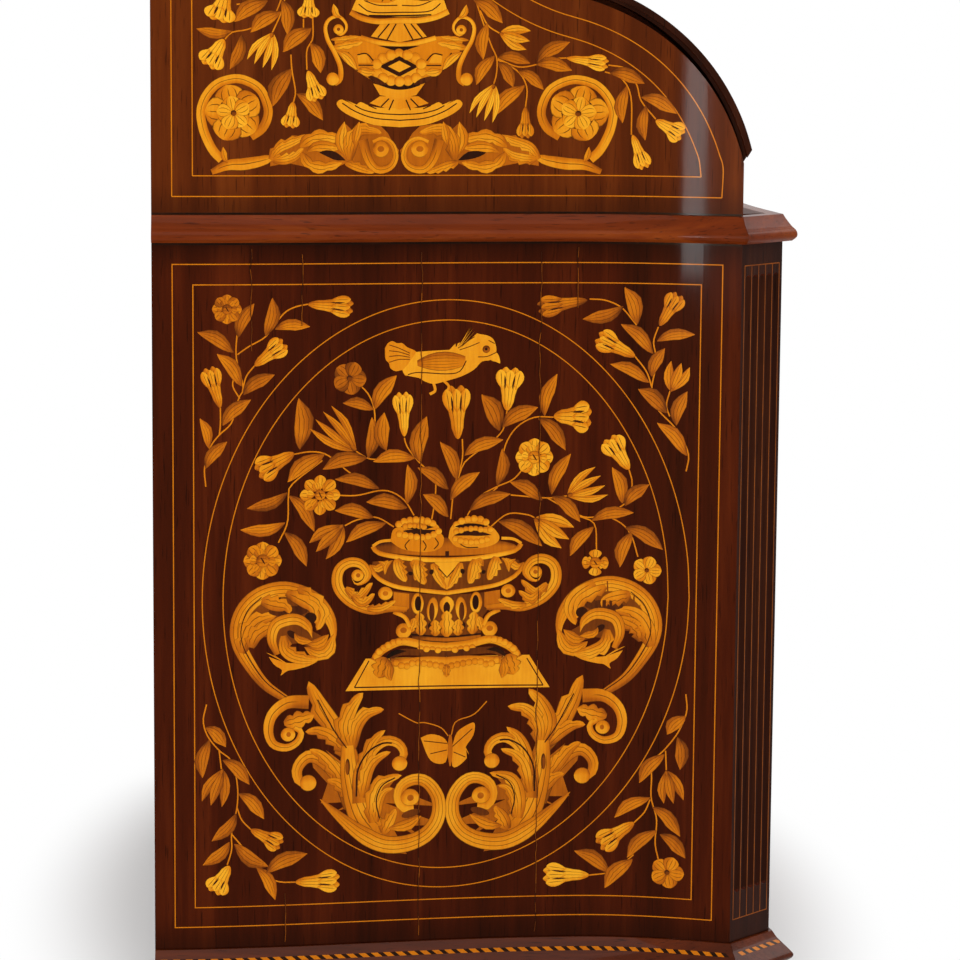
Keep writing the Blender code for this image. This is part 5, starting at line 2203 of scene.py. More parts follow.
URN_MIDDLE = read_cuts("""
PLATE 0 .88 105,1305 240,1080 300,1078 1290,1055 1360,1055 1500,1278
BAND 9 .14 168,1280 1450,1258
8 .14 168,1280 262,1100
1450,1258 1340,1080
DISC 130 .56 1 290,322 1275,318
BAND 26 .16 795,345 795,400
PLATE 0 .3 290,420 500,405 795,425 1080,405 1290,410 1300,470 1240,540 1080,590 795,615 520,590 360,550
 280,480
425,620 600,640 795,650 990,635 1160,610 1170,690 1080,740 1040,800 1030,920 795,940 555,920
 545,850 510,780 430,730
FROND 150 .84 3 795,470 795,612
PLATE 0 .9 705,425 885,422 795,528
BAND 7 .12 705,428 795,530
885,425 795,530
40 .52 1 560,935 795,950 1025,930
13 .04 550,918 795,930 1030,914
10 .06 560,955 795,968 1020,950
PETAL 105 .9 1 795,800 795,655
48 .1 795,800 795,690
FROND 115 .86 3 795,930 795,750
""", URN)
URN_HALF = read_cuts("""
BAND 34 .9 1 293,318 330,362 450,388 620,405 795,410
20 .84 293,318 340,285 430,272
LEAF 60 .82 3 268,440 320,470 400,410
-38 .8 2 330,420 370,450 375,505
34 .78 2 430,410 385,440 372,500
FEATHER 110 .84 4 455,405 480,480 518,560
-95 .82 4 560,410 600,470 575,545
120 .86 4 600,410 620,500 650,580
80 .84 3 700,430 735,520 790,600
DISC 36 .05 674,490 710,490
26 .05 535,500 561,500
BAND 30 .88 1 265,455 330,535 450,590 620,615 795,630
PLATE 0 .58 435,625 540,640 540,740 500,770 430,735
DISC 152 .9 1 556,705 640,705
104 .04 578,705 622,705
172 .86 1 657,745 733,745
132 .22 676,760 714,760
60 .04 670,860 714,860
FROND 100 .84 3 620,925 610,765
90 .8 3 720,925 715,815
70 .82 3 545,900 580,800
DISC 110 .84 1 445,890 555,890
40 .5 480,890 520,890
BAND 30 .86 1 430,765 505,795 548,860
58 .84 1 300,1095 335,1040 400,995 500,965 640,990 795,998
BEADS 50 .86 1 305,1080 345,1025 430,972 520,962
46 .86 1 600,1008 680,1020 790,1026
BAND 46 .26 400,1075 480,1040 640,1040 795,1052
LEAF 36 .03 370,1095 440,1040 520,1030
BAND 56 .8 1 420,1110 520,1100 660,1090 795,1100
BEADS 48 .78 1 430,1100 510,1134 570,1112 655,1116 780,1132
FROND 150 .74 3 370,1070 330,1215
LEAF 70 .72 3 410,1110 405,1180 418,1232
FROND 60 .74 3 795,1120 795,1208
RIBBON 78 .84 3 520,745 400,742 280,752 150,700 70,620 48,540 72,462 140,420 215,435 258,505 230,560 180,570
 145,530
DISC 84 .88 1 146,515 230,515
30 .5 173,515 203,515
FEATHER -85 .8 4 110,600 190,655 290,560
-80 .8 3 150,650 220,700 305,635
70 .82 3 250,740 340,735 445,685
DISC 96 .84 1 330,635 426,635
34 .55 361,635 395,635
""", URN)
UPPER_URN = read_cuts("""
PLATE 0 .72 200,330 330,290 430,300 600,345 735,355 870,345 1040,300 1140,290 1260,320 1250,390 1210,470
 1080,590 940,670 735,715 520,670 400,600 290,510 215,410
0 .84 590,185 500,300 735,345 960,300 870,185
0 .8 580,795 495,850 735,925 975,850 890,795
0 .82 520,685 580,785 735,815 880,785 950,685 735,740
BAND 44 .04 575,685 660,712 735,722 820,710 905,680
PLATE 0 .92 380,-5 340,85 480,130 735,135 990,130 1130,85 1110,-5
BAND 9 .16 400,30 500,95 735,105 980,90 1080,25
8 .2 450,5 560,45 720,40
760,40 900,45 1020,0
48 .9 1 330,98 420,148 560,172 735,165 900,170 1040,145 1140,95
12 .05 480,128 735,132 1000,125
40 .92 1 420,312 560,350 735,366 900,350 1040,312
THORN 44 .06 735,402 560,378
735,402 910,378
DISC 250 .86 1 525,560 940,560
BEADS 88 .86 2 931,560 874,640 735,672 596,639 539,560 596,481 735,448 874,481 931,560
PLATE 0 .1 570,547 735,468 892,547 735,634
0 .9 640,548 735,506 832,548 735,592
""", CHEEK_URN)
UPPER_HALF = read_cuts("""
SHAPE 0 .86 218,836 195,838 178,844 167,850 162,856 165,860 172,859 178,855 183,858 190,855 200,853 218,851
BAND 1 .1 167,857 178,850 195,844 218,842
178,855 186,851 200,848 218,847
.9 .12 190,855 197,852
""") + read_cuts("""
BAND 10 .1 650,815 590,885
690,820 650,905
650,200 555,315
710,200 640,330
FROND 72 .88 2 185,395 440,345
40 .84 2 170,330 410,298
PLATE 0 .84 385,450 470,440 505,515 400,520
BAND 10 .1 385,450 470,442 520,500
9 .12 400,535 520,540
9 .14 310,430 370,520 385,585
TAPER 48 .88 1 196,690 245,650 250,545 205,435 145,325 122,225 160,155 240,140 298,190 300,250 250,285
 200,255
DISC 108 .88 1 134,652 242,652
84 .9 1 196,238 280,238
28 .4 224,238 252,238
LEAF 60 .86 2 260,150 210,110 190,28
""", CHEEK_URN) + read_cuts("""
LEAF 5 .2 188,881 196,877 206,873
8 .9 3 163,902 172,896 180,886
8 .86 3 180,886 188,884 196,884
""")
UPPER_SCROLL = read_cuts("""
PLATE 0 .52 104,810 113,820 123,829 135,828 151,831 166,829 170,839 177,832 189,839 201,837 207,831 212,822
 217,816 215,805 207,797 195,796 180,800 171,805 160,800 145,797 133,802 119,805 104,802
""") + read_cuts("""
BAND 70 .84 2 455,572 540,510 578,420 572,320 520,222 430,158 330,142 210,175 122,262 86,370 88,480 122,590
 180,680 235,745
RIBBON 90 .82 2 160,838 280,785 400,775 540,752 660,705
LEAF 50 .8 2 280,770 255,720 246,648
FEATHER 100 .84 4 600,740 660,660 750,610 880,565
-105 .82 4 620,745 700,745 790,720 850,660
FROND 120 .84 3 820,650 900,590 1010,575 1140,600
105 .8 3 830,690 890,775 990,800 1140,765
LEAF 90 .8 3 870,690 960,650 1140,660
60 .06 970,690 1060,705 1165,748
95 .82 3 1165,720 1130,600 1152,458
70 .84 3 1175,720 1175,600 1218,510
FEATHER -130 .76 4 1190,740 1215,600 1270,520 1435,548
LEAF 70 .78 3 1230,640 1250,540 1262,462
TAPER 78 .78 2 1290,600 1330,740 1400,815 1490,800 1535,720 1510,630 1440,590 1370,610
DISC 124 .8 1 1363,662 1487,662
44 .5 1403,662 1447,662
FEATHER 85 .8 3 1165,765 1240,790 1370,842
""", CHEEK_SCROLL)
UPPER_LEAVES = read_cuts("""
SPRIG 9 190,948 174,964
-9 245,948 261,964
8 204,964 195,978
-8 231,964 240,978
8 217,964 217,979
""")
BIRD = read_cuts("""
BAND 34 .8 640,740 665,850 600,895
32 .8 770,735 830,800 800,870
SHAPE 0 .74 60,340 95,280 150,255 205,280 270,278 330,330 440,385 470,520 340,665 285,650 270,605 190,618
 125,580 108,520 65,470
0 .86 440,385 600,372 930,352 950,330 910,318 900,285 965,270 1045,180 1050,150 1098,92 1170,160
 1290,185 1360,225 1395,300 1400,390 1340,480 1230,500 1130,600 980,680 800,735 650,770 540,740 470,700
 330,670 285,640 280,600 330,540
0 .9 1345,430 1400,390 1435,440 1448,520 1400,505 1340,485
BODY 235 .72 6 450,520 700,500 1030,490
BAND 12 .12 335,660 460,632 800,650 960,620 1040,490
10 .2 940,340 1050,260 1140,200
960,360 1080,320 1200,270
10 .16 1310,245 1385,285
9 .2 1180,445 1290,440 1400,392
9 .24 110,300 230,340 360,400
110,370 230,385 360,425
110,440 230,430 360,450
110,510 230,475 360,475
DISC 92 .48 1 1236,352 1328,352
34 .05 1263,350 1297,350
""", PERCH)
BUTTERFLY = read_cuts("""
SHAPE 0 .78 420.5,737.5 430,734.5 443,737 448.5,745 446,762 436,763.5 428,757
452,745 457,732 468,724.5 475,723.5 473.5,735 466,747 469,755 460,765 452.5,766
BODY 5 .55 449.5,766 450,735
BAND .9 .2 447,743 424,741
447,750 430,754
453,747 472,729
453,752 466,757
1.1 .66 448,736 440,727 424,722.5 416,723 399,713.5
451,735 456,721 474,715 487,701
""", WHOLE)
CROWN_ROSES = read_cuts("""
SHAPE 0 .74 391,541 393,530 401,526 404,520 413,518.5 418,517.5 424,519.5 431,521 438,526 440,532.5 444,538
 441.2,547 432,551 418,552 402,549
0 .78 448,538 451,528 457,521 466,518 475,516.5 484,518.5 488,525 494,528 499,536 497,543 486,547
 470,549 456,547
""", WHOLE) + read_cuts("""
BEADS 6.6 .84 216,482 224,486 234,487 243,486 251,482
6.6 .86 268,480 275,485 284,487 293,486 299,482
LEAF 6 .08 220,481 250,480
269,480 299,480
BEADS 5.4 .8 222,481 231,482 243,480
5.6 .84 268,475 276,477 285,478 294,477 303,477
LEAF 6 .1 222,477 238,475 254,477
5 .12 268,472 284,474 302,472
BEADS 6.2 .86 216,475 226,473 240,471 251,474 256,478
5.8 .86 267,470 276,467 288,466 300,469
BAND .9 .12 228,469 224,464 226,460
240,468 243,463 241,459
251,470 254,465 250,460
274,464 280,461 290,461
""")


# Inlaid panels


@dataclass
class InlaidSides:
    """Strings, ovals and marquetry of the two sides, in millimetres of depth and height."""

    string: float = 0.9
    string_tone: float = 0.68
    low: Point = (18.3, 120.0)
    high: Point = (503.6, 716.5)
    inset: float = 18.0
    oval: Point = (261.5, 416.5)
    oval_radii: tuple[Point, Point] = ((218.0, 267.3), (199.6, 249.3))
    axis: Point = (262.0, 0.0)
    upper_axis: Point = (217.5, 0.0)
    ring_flower: Point = (72.2, 848.3)
    # Heights and widths of dark lines just under the waist moulding and just above it on the cheek: painted contact
    # shadow.
    seams: tuple[Point, Point] = ((734.3, 1.8), (760.9, 1.6))
    seam_ends: Point = (1.0, 519.0)
    crown: Shift = Shift((260, 473), (217.5, 957), 0.85)
    post_pitch: float = 10.2
    post_ends: Point = (121.0, 716.0)
    crack_lines: tuple[Spot, ...] = (
        (237.7, 105, 732), (344.6, 105, 732), (131.8, 662, 732),
        (87.1, 640, 732), (377.6, 676, 732), (116.8, 104, 150),
    )

    def build(self) -> None:
        """Cut both sides."""
        for side in (-1, 1):
            self.lower(side)
            self.upper(side)
            self.post(side)
        self.cracks()

    def lower(self, side: int) -> None:
        """The panel below the waist.

        Args:
            side: -1 for left, 1 for right.
        """
        word = side_word(side)
        work = Marquetry(SideGround(side))
        for inset in (0.0, self.inset):
            low, high = np.array(self.low) + inset, np.array(self.high) - inset
            work.box(tuple(low), tuple(high), self.string, self.string_tone)
        for radii in self.oval_radii:
            work.ring(self.oval, radii, self.string, self.string_tone)
        # Painted shadow line under the waist moulding.
        self.seam(work, *self.seams[0])
        work.settle(f"{word}_panel_strings")
        mirror = Shift(self.axis, self.axis, mirror=True)
        sprays = (TOP_LEFT_SPRAY, TOP_RIGHT_SPRAY, LOW_LEFT_SPRAY, LOW_RIGHT_SPRAY)
        halves = [(STAY, URN_HALF, 4), (mirror, URN_HALF, 4)]
        scrolls = [(shift, table, 0) for shift in (STAY, mirror) for table in (SIDE_SCROLL, FOOT_SCROLL)]
        for name, rows in (
            ("corner_sprays", [(STAY, table, 1) for table in sprays]),
            ("bouquet", [(STAY, BOUQUET_LEFT, 1), (STAY, BOUQUET_RIGHT, 1), (STAY, BIRD, 3)]),
            ("flower_urn", [(STAY, URN_MIDDLE, 0), *halves, (STAY, CROWN_ROSES, 6)]),
            ("leaf_scrolls", [*scrolls, (STAY, BUTTERFLY, 0)]),
        ):
            work = Marquetry(SideGround(side))
            work.lay(rows)
            work.settle(f"{word}_{name}")

    def seam(self, work: Marquetry, height: float, width: float) -> None:
        """A dark line along the side at a height: painted contact shadow where a moulding meets the panel."""
        work.strip(BAND, width, 0.0, 0, [(depth, height) for depth in self.seam_ends], 0)

    def upper(self, side: int) -> None:
        """The cheek above the waist.

        Args:
            side: -1 for left, 1 for right.
        """
        word = side_word(side)
        work = Marquetry(SideGround(side))
        for inset in (self.low[0], self.low[0] + self.inset):
            self.cheek_string(work, inset)
        # Painted shadow line just above the waist moulding.
        self.seam(work, *self.seams[1])
        work.settle(f"{word}_cheek_strings")
        work = Marquetry(SideGround(side))
        work.lay([(STAY, UPPER_LEFT_SPRAY, 1), (STAY, UPPER_RIGHT_SPRAY, 1)])
        work.settle(f"{word}_cheek_sprays")
        work = Marquetry(SideGround(side))
        work.lay([(STAY, UPPER_LEAVES, 0), (STAY, UPPER_URN, 0), (self.crown, CROWN_ROSES, 6)])
        axis, middle = self.upper_axis, np.array(self.ring_flower)
        wide = Shift(axis, axis, mirror=True, stretch=1.09)
        for half, scroll in ((STAY, STAY), (Shift(axis, axis, mirror=True), wide)):
            work.lay([(half, UPPER_HALF, 5), (scroll, UPPER_SCROLL, 0)])
            work.shift = scroll
            for reach, tone, level in ((25.0, 0.80, 2), (15.0, 0.92, 7)):
                work.dot(tuple(middle), 0.92 * reach, 0.22, 0, level - 1)
                work.flower(Outline.STAR, middle, middle + (0, reach), reach, tone, level)
        work.settle(f"{word}_cheek_urn")

    def cheek_string(self, work: Marquetry, inset: float) -> None:
        """A string that follows the cheek's edges.

        Args:
            work: The face.
            inset: How far inside the edges, in millimetres.
        """
        edge = OGEE.edge(16)
        run = np.gradient(edge, axis=0)
        run /= np.linalg.norm(run, axis=1)[:, None]
        bent = edge + np.stack([run[:, 1], -run[:, 0]], axis=1) * inset * MM
        places = [((PLAN.side_depth - p[0]) / MM, (Z.hinge + p[1]) / MM) for p in bent]
        roof, floor = Z.cheek / MM - inset, Z.waist / MM + inset - 2.0
        places = [p for p in places if floor + 8 < p[1] < roof]
        places = [(PLAN.side_depth / MM - inset, floor), *places]
        work.strip(BAND, self.string, self.string_tone, 0, places, 0, 180)
        corners = [places[0], (inset, floor), (inset, roof), (places[-1][0] - 4, roof)]
        for ends in pairwise(corners):
            work.strip(BAND, self.string, self.string_tone, 0, ends, 0)

    def cracks(self) -> None:
        """Shrinkage cracks of the left panel, dark with a paler, broken lip."""
        work = Marquetry(SideGround(-1))
        rng = np.random.default_rng(7)
        for a, low, high in self.crack_lines:
            heights = np.arange(low, high, 9.0)
            line = [(a + 0.5 * w, b) for b, w in zip(heights, rng.normal(size=len(heights)))]
            work.strip(BAND, 0.45, 0.10, 0, line, 16)
            for start, end in pairwise(line):
                if rng.random() < 0.8:
                    lip = [(p[0] + 0.35, p[1]) for p in (start, end)]
                    work.strip(BAND, 0.35, 0.30 + 0.25 * rng.random(), 0, lip, 16)
        work.settle("left_panel_cracks")

    def post(self, side: int) -> None:
        """Strings between the flutes of a post.

        Args:
            side: -1 for left, 1 for right.
        """
        work = Marquetry(CantGround(side))
        middle = (OUTER_CORNER - INNER_CORNER).length / MM / 2
        lands = [middle + (k - 2.5) * self.post_pitch for k in range(6)]
        low, high = self.post_ends
        lines = [((a, low), (a, high)) for a in lands]
        lines += [((lands[0] - 0.45, b), (lands[-1] + 0.45, b)) for b in self.post_ends]
        for ends in lines:
            work.strip(BAND, 0.9, 0.42, 0, ends, 0, 1)
        work.settle(f"{side_word(side)}_post_strings")


@dataclass
class CheckerBand:
    """The slanted light and dark checks let into the base moulding's slope."""

    pitch: float = 11.2
    light: float = 6.2
    height: float = 4.2
    foot: float = 9.4

    def build(self) -> None:
        """Cut the band of each run."""
        for run in Run:
            work = Marquetry(SlopeGround(run))
            length = float(RUN_LINES[run][1][-1]) / MM
            lean = self.foot * work.ground.lean
            count = int((length - 8) / self.pitch)
            start = (length - count * self.pitch) / 2 + lean + self.height / 2
            middle = self.foot + self.height / 2
            for k in range(count):
                a = start + k * self.pitch
                for first, last, tone in ((a, a + self.light, 0.66), (a + self.light, a + self.pitch, 0.03)):
                    work.strip(BAND, self.height, tone, 0, ((first, middle), (last, middle)), 0, 1)
            work.settle(f"checker_band_{run.value}")


# Brass and fittings


def oval(middle: Vector, across: float, up: float, count: int = 48) -> list[Vector]:
    """Points of an upright oval that faces the front, by half its width and half its height."""
    turns = [2 * pi * k / count for k in range(count)]
    return [middle + Vector((across * cos(t), 0, up * sin(t))) for t in turns]


@dataclass
class Brasses:
    """Drawer pulls, lock plates and knobs."""

    plate: float = 0.0016
    border: float = 0.0035
    spacing: float = 0.032
    axis_up: float = 0.006
    axis_out: float = 0.0085
    bail_radius: float = 0.0023
    bail_arm: float = 0.042
    bail_drop: float = 0.032
    bail_start: float = 0.0144
    bail_bend: float = 0.004
    lock_down: float = 0.036
    lid_lock_up: float = 293.0
    lock_radii: Point = (0.0115, 0.0165)
    hole: float = 0.0028
    slot: Point = (0.0022, -0.0075)
    ring: float = 0.0072
    post: Points = (
        (0.0, -0.0008), (0.0066, -0.0008), (0.0066, 0.0010), (0.0046, 0.0022), (0.0036, 0.0040),
        (0.0047, 0.0062), (0.0050, 0.0085), (0.0047, 0.0108), (0.0030, 0.0122), (0.0, 0.0127),
    )
    rose: Points = (
        (0.0, -0.0008), (0.0105, -0.0008), (0.0105, 0.0002), (0.0098, 0.0005), (0.0, 0.0005)
    )
    staple: Points = ((0.0, 0.0), (0.0016, 0.0), (0.0016, 0.001), (0.0009, 0.0017), (0.0, 0.0018))
    knob: Points = (
        (0.0, -0.001), (0.0062, -0.001), (0.0062, 0.0014), (0.0032, 0.0032), (0.0030, 0.0056),
        (0.0062, 0.0084), (0.0074, 0.0108), (0.0062, 0.0131), (0.0030, 0.0142), (0.0, 0.0144),
    )

    def build(self) -> None:
        """Build every brass."""
        for word in DRAWERS:
            for side in (-1, 1):
                self.pull(word, side_word(side))
            self.lock(word)
        self.lid_lock()
        for side in (-1, 1):
            self.knobs(side)

    def pull(self, word: str, hand: str) -> None:
        """One oval plate with its posts, and the bail that hangs on them.

        Args:
            word: The drawer.
            hand: The side that it is on.
        """
        name = f"{word}_{hand}_pull_plate"
        low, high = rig.box(name)
        back = Vector(((low.x + high.x) / 2, high.y, (low.z + high.z) / 2))
        bm = raised(oval(back, (high.x - low.x) / 2, (high.z - low.z) / 2, 64), Vector((0, -self.plate, 0)))
        face = min(bm.faces, key=lambda f: f.calc_center_median().y)
        for thickness, depth in ((self.border, 0.0), (0.0009, -0.0007), (0.0030, 0.0), (0.0008, 0.0005)):
            bmesh.ops.inset_region(bm, faces=[face], thickness=thickness, depth=depth, use_even_offset=True)
        bmesh.ops.recalc_face_normals(bm, faces=bm.faces)
        axis = back + Vector((0, -self.plate - self.axis_out, self.axis_up))
        for way in (-1, 1):
            seat = Vector((back.x + way * self.spacing, back.y - self.plate, axis.z))
            join(bm, turned(flowing(self.post, 3), seat, AHEAD, 24))
        Seat(f"{word}_drawer", BRASS, "brass").put(f"{name}_oval", bm, name)
        path = [axis + Vector((x, 0, z)) for x, z in self.bail_path()]
        middle = len(path) / 2
        radii = [self.bail_radius * (1 + 0.3 * max(0.0, 1 - abs(k - middle) / 9)) for k in range(len(path))]
        name = f"{word}_{hand}_bail"
        Seat(name, BRASS, "brass").put(f"{name}_bar", tube(path, radii, 14), name, crease=50)

    def bail_path(self) -> list[Point]:
        """The bail's centre line from post to post.

        Returns:
            Points of (across, up).
        """
        bend = self.bail_bend
        half = [(self.spacing - 0.0045, 0.0), (self.bail_arm - bend, 0.0)]
        for k in range(1, 7):
            turn = pi / 2 * k / 6
            half.append((self.bail_arm - bend * (1 - sin(turn)), -bend * (1 - cos(turn))))
        for k in range(21):
            turn = pi / 2 * k / 20
            down = self.bail_start + (self.bail_drop - self.bail_start) * sin(turn) ** 0.8
            half.append((self.bail_arm * max(cos(turn), 0.0) ** 0.75, -down))
        return half + [(-x, z) for x, z in reversed(half[:-1])]

    def lock(self, word: str) -> None:
        """A drawer's lock plate with its keyhole, a black sheet of painted shade.

        Args:
            word: The drawer.
        """
        _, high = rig.box(f"{word}_drawer_front")
        spot = PLAN.place(0, PLAN.front(0), high.z - self.lock_down)
        self.lock_plate(f"{word}_drawer", f"{word}_drawer_lock", spot, AHEAD)

    def lid_lock(self) -> None:
        """The lid's lock plate, near its free edge."""
        ground = FallGround()
        spot = ground.place(0, self.lid_lock_up, 0)
        self.lock_plate("fall", "fall_lock", spot, ground.place(0, self.lid_lock_up, 1) - spot)

    def lock_plate(self, body: str, name: str, spot: Vector, out: Vector) -> None:
        """An oval plate and the keyhole in it, the keyhole a black sheet of painted shade rather than a hole.

        Args:
            body: The body that they ride on.
            name: The plate's name.
            spot: The plate's middle.
            out: The direction that it faces.
        """
        turns = np.linspace(-0.9, pi + 0.9, 15)
        hole = [Vector((self.hole * cos(t), 0, 0.003 + self.hole * sin(t))) for t in turns]
        hole += [Vector((way * self.slot[0], 0, self.slot[1])) for way in (-1, 1)]
        turn = AHEAD.rotation_difference(out).to_matrix()
        for word, outline, low, rise, finish in (
            (name, oval(Vector(), *self.lock_radii), -0.001, 0.0024, BRASS),
            # Painted shade: the keyhole is a black sheet a hair proud of the plate, not a hole.
            (f"{name}_keyhole", hole, 0.001, 0.00045, INLAY),
        ):
            bm = raised([p - Vector((0, low, 0)) for p in outline], Vector((0, -rise, 0)))
            if finish is BRASS:
                soften(bm, 0.0008)
            bmesh.ops.rotate(bm, cent=(0, 0, 0), matrix=turn, verts=bm.verts)
            bmesh.ops.translate(bm, vec=spot, verts=bm.verts)
            Seat(body, finish, "brass").put(word, bm)

    def knobs(self, side: int) -> None:
        """The flat ring of one loper and the knob of one small drawer.

        Args:
            side: -1 for left, 1 for right.
        """
        loper, drawer = f"{side_word(side)}_loper", f"{side_word(side)}_nest_drawer"
        low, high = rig.box(loper)
        x = (low.x + high.x) / 2
        seat, out = PLAN.place(x, PLAN.front(x), (low.z + high.z) / 2), AHEAD
        bm = turned(self.rose, seat, out, 36)
        loop = oval(seat + out * 0.0011 - Vector((0, 0, 0.0012)), self.ring, self.ring)
        join(bm, tube(loop[13:] + loop[:12], [0.0007] * 47, 10))
        join(bm, turned(self.staple, seat + Vector((0, 0, 0.0060)), out, 16))
        Seat(loper, BRASS, "brass").put(f"{loper}_ring", bm, crease=50)
        low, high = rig.box(drawer)
        shape = [(0.85 * r, 0.85 * a) for r, a in flowing(self.knob, 3)]
        seat = Vector(((low.x + high.x) / 2, low.y, (low.z + high.z) / 2))
        Seat(drawer, BRASS, "brass").put(f"{drawer}_knob", turned(shape, seat, out, 28), crease=50)


@dataclass
class Back:
    """The back, of upright oak boards."""

    boards: int = 6
    joint: float = 0.0008

    def build(self) -> None:
        """Build the boards side by side."""
        low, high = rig.box("back_panel")
        edges = np.linspace(low.x, high.x, self.boards + 1)
        bm = bmesh.new()
        for start, end in pairwise(edges):
            board_box(bm, (start + self.joint / 2, low.y, low.z), (end - self.joint / 2, high.y, high.z))
        soften(bm, 0.0016)
        Seat("case", BACK_OAK, "oak_carcase").put("back_boards", bm, "back_panel", crease=20)


def board_box(bm: BMesh, low: Spot, high: Spot) -> None:
    """Add a board to a mesh.

    Args:
        bm: The mesh.
        low: The board's lowest corner.
        high: Its highest corner.
    """
    verts = bmesh.ops.create_cube(bm, size=1.0)["verts"]
    bmesh.ops.scale(bm, vec=Vector(high) - Vector(low), verts=verts)
    bmesh.ops.translate(bm, vec=(Vector(high) + Vector(low)) / 2, verts=verts)


@dataclass
class Nest:
    """Pigeonholes behind the lid."""

    dividers: int = 3
    board: float = 0.004
    roof: float = 1.0160
    drop: float = 0.024
    arch: float = 0.016
    setback: float = 0.003
    clear: float = 0.0026
    shelf: Point = (0.902, 0.908)

    def build(self) -> None:
        """Build the dividers and the arched valances."""
        for side in (-1, 1):
            low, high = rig.box(f"{side_word(side)}_nest_shelf")
            edges = np.linspace(low.x, high.x, self.dividers + 2)
            bm = bmesh.new()
            for x in edges[1:-1]:
                front, half = low.y + self.setback, self.board / 2
                board_box(bm, (x - half, front, high.z + GAP), (x + half, high.y, self.roof))
            for start, end in pairwise(edges):
                join(bm, self.valance(start + self.clear, end - self.clear, low.y))
            self.put(bm, f"{side_word(side)}_pigeonholes")
        low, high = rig.box("left_nest_partition")
        start, end, front = high.x + GAP, -high.x - GAP, low.y + self.board
        bm = self.valance(start, end, low.y)
        board_box(bm, (start, front, self.shelf[0]), (end, high.y, self.shelf[1]))
        self.put(bm, "middle_compartment")

    def valance(self, start: float, end: float, y: float) -> BMesh:
        """An arched board under the top.

        Args:
            start: Its left end.
            end: Its right end.
            y: Its front face.

        Returns:
            The board's mesh.
        """
        turns = np.linspace(0, pi, 17)
        half, middle = (end - start) / 2 - 0.004, (start + end) / 2
        outline = [Vector((start, y, self.roof)), Vector((start, y, self.roof - self.drop))]
        for t in turns:
            rise = self.roof - self.drop + self.arch * sin(t)
            outline.append(Vector((middle - half * cos(t), y, rise)))
        outline += [Vector((end, y, self.roof - self.drop)), Vector((end, y, self.roof))]
        return raised(outline, Vector((0, self.board, 0)))

    def put(self, bm: BMesh, name: str) -> None:
        """Soften and seat a group of boards."""
        soften(bm, 0.0005, 60)
        Seat("case", SOLID).put(name, bm)


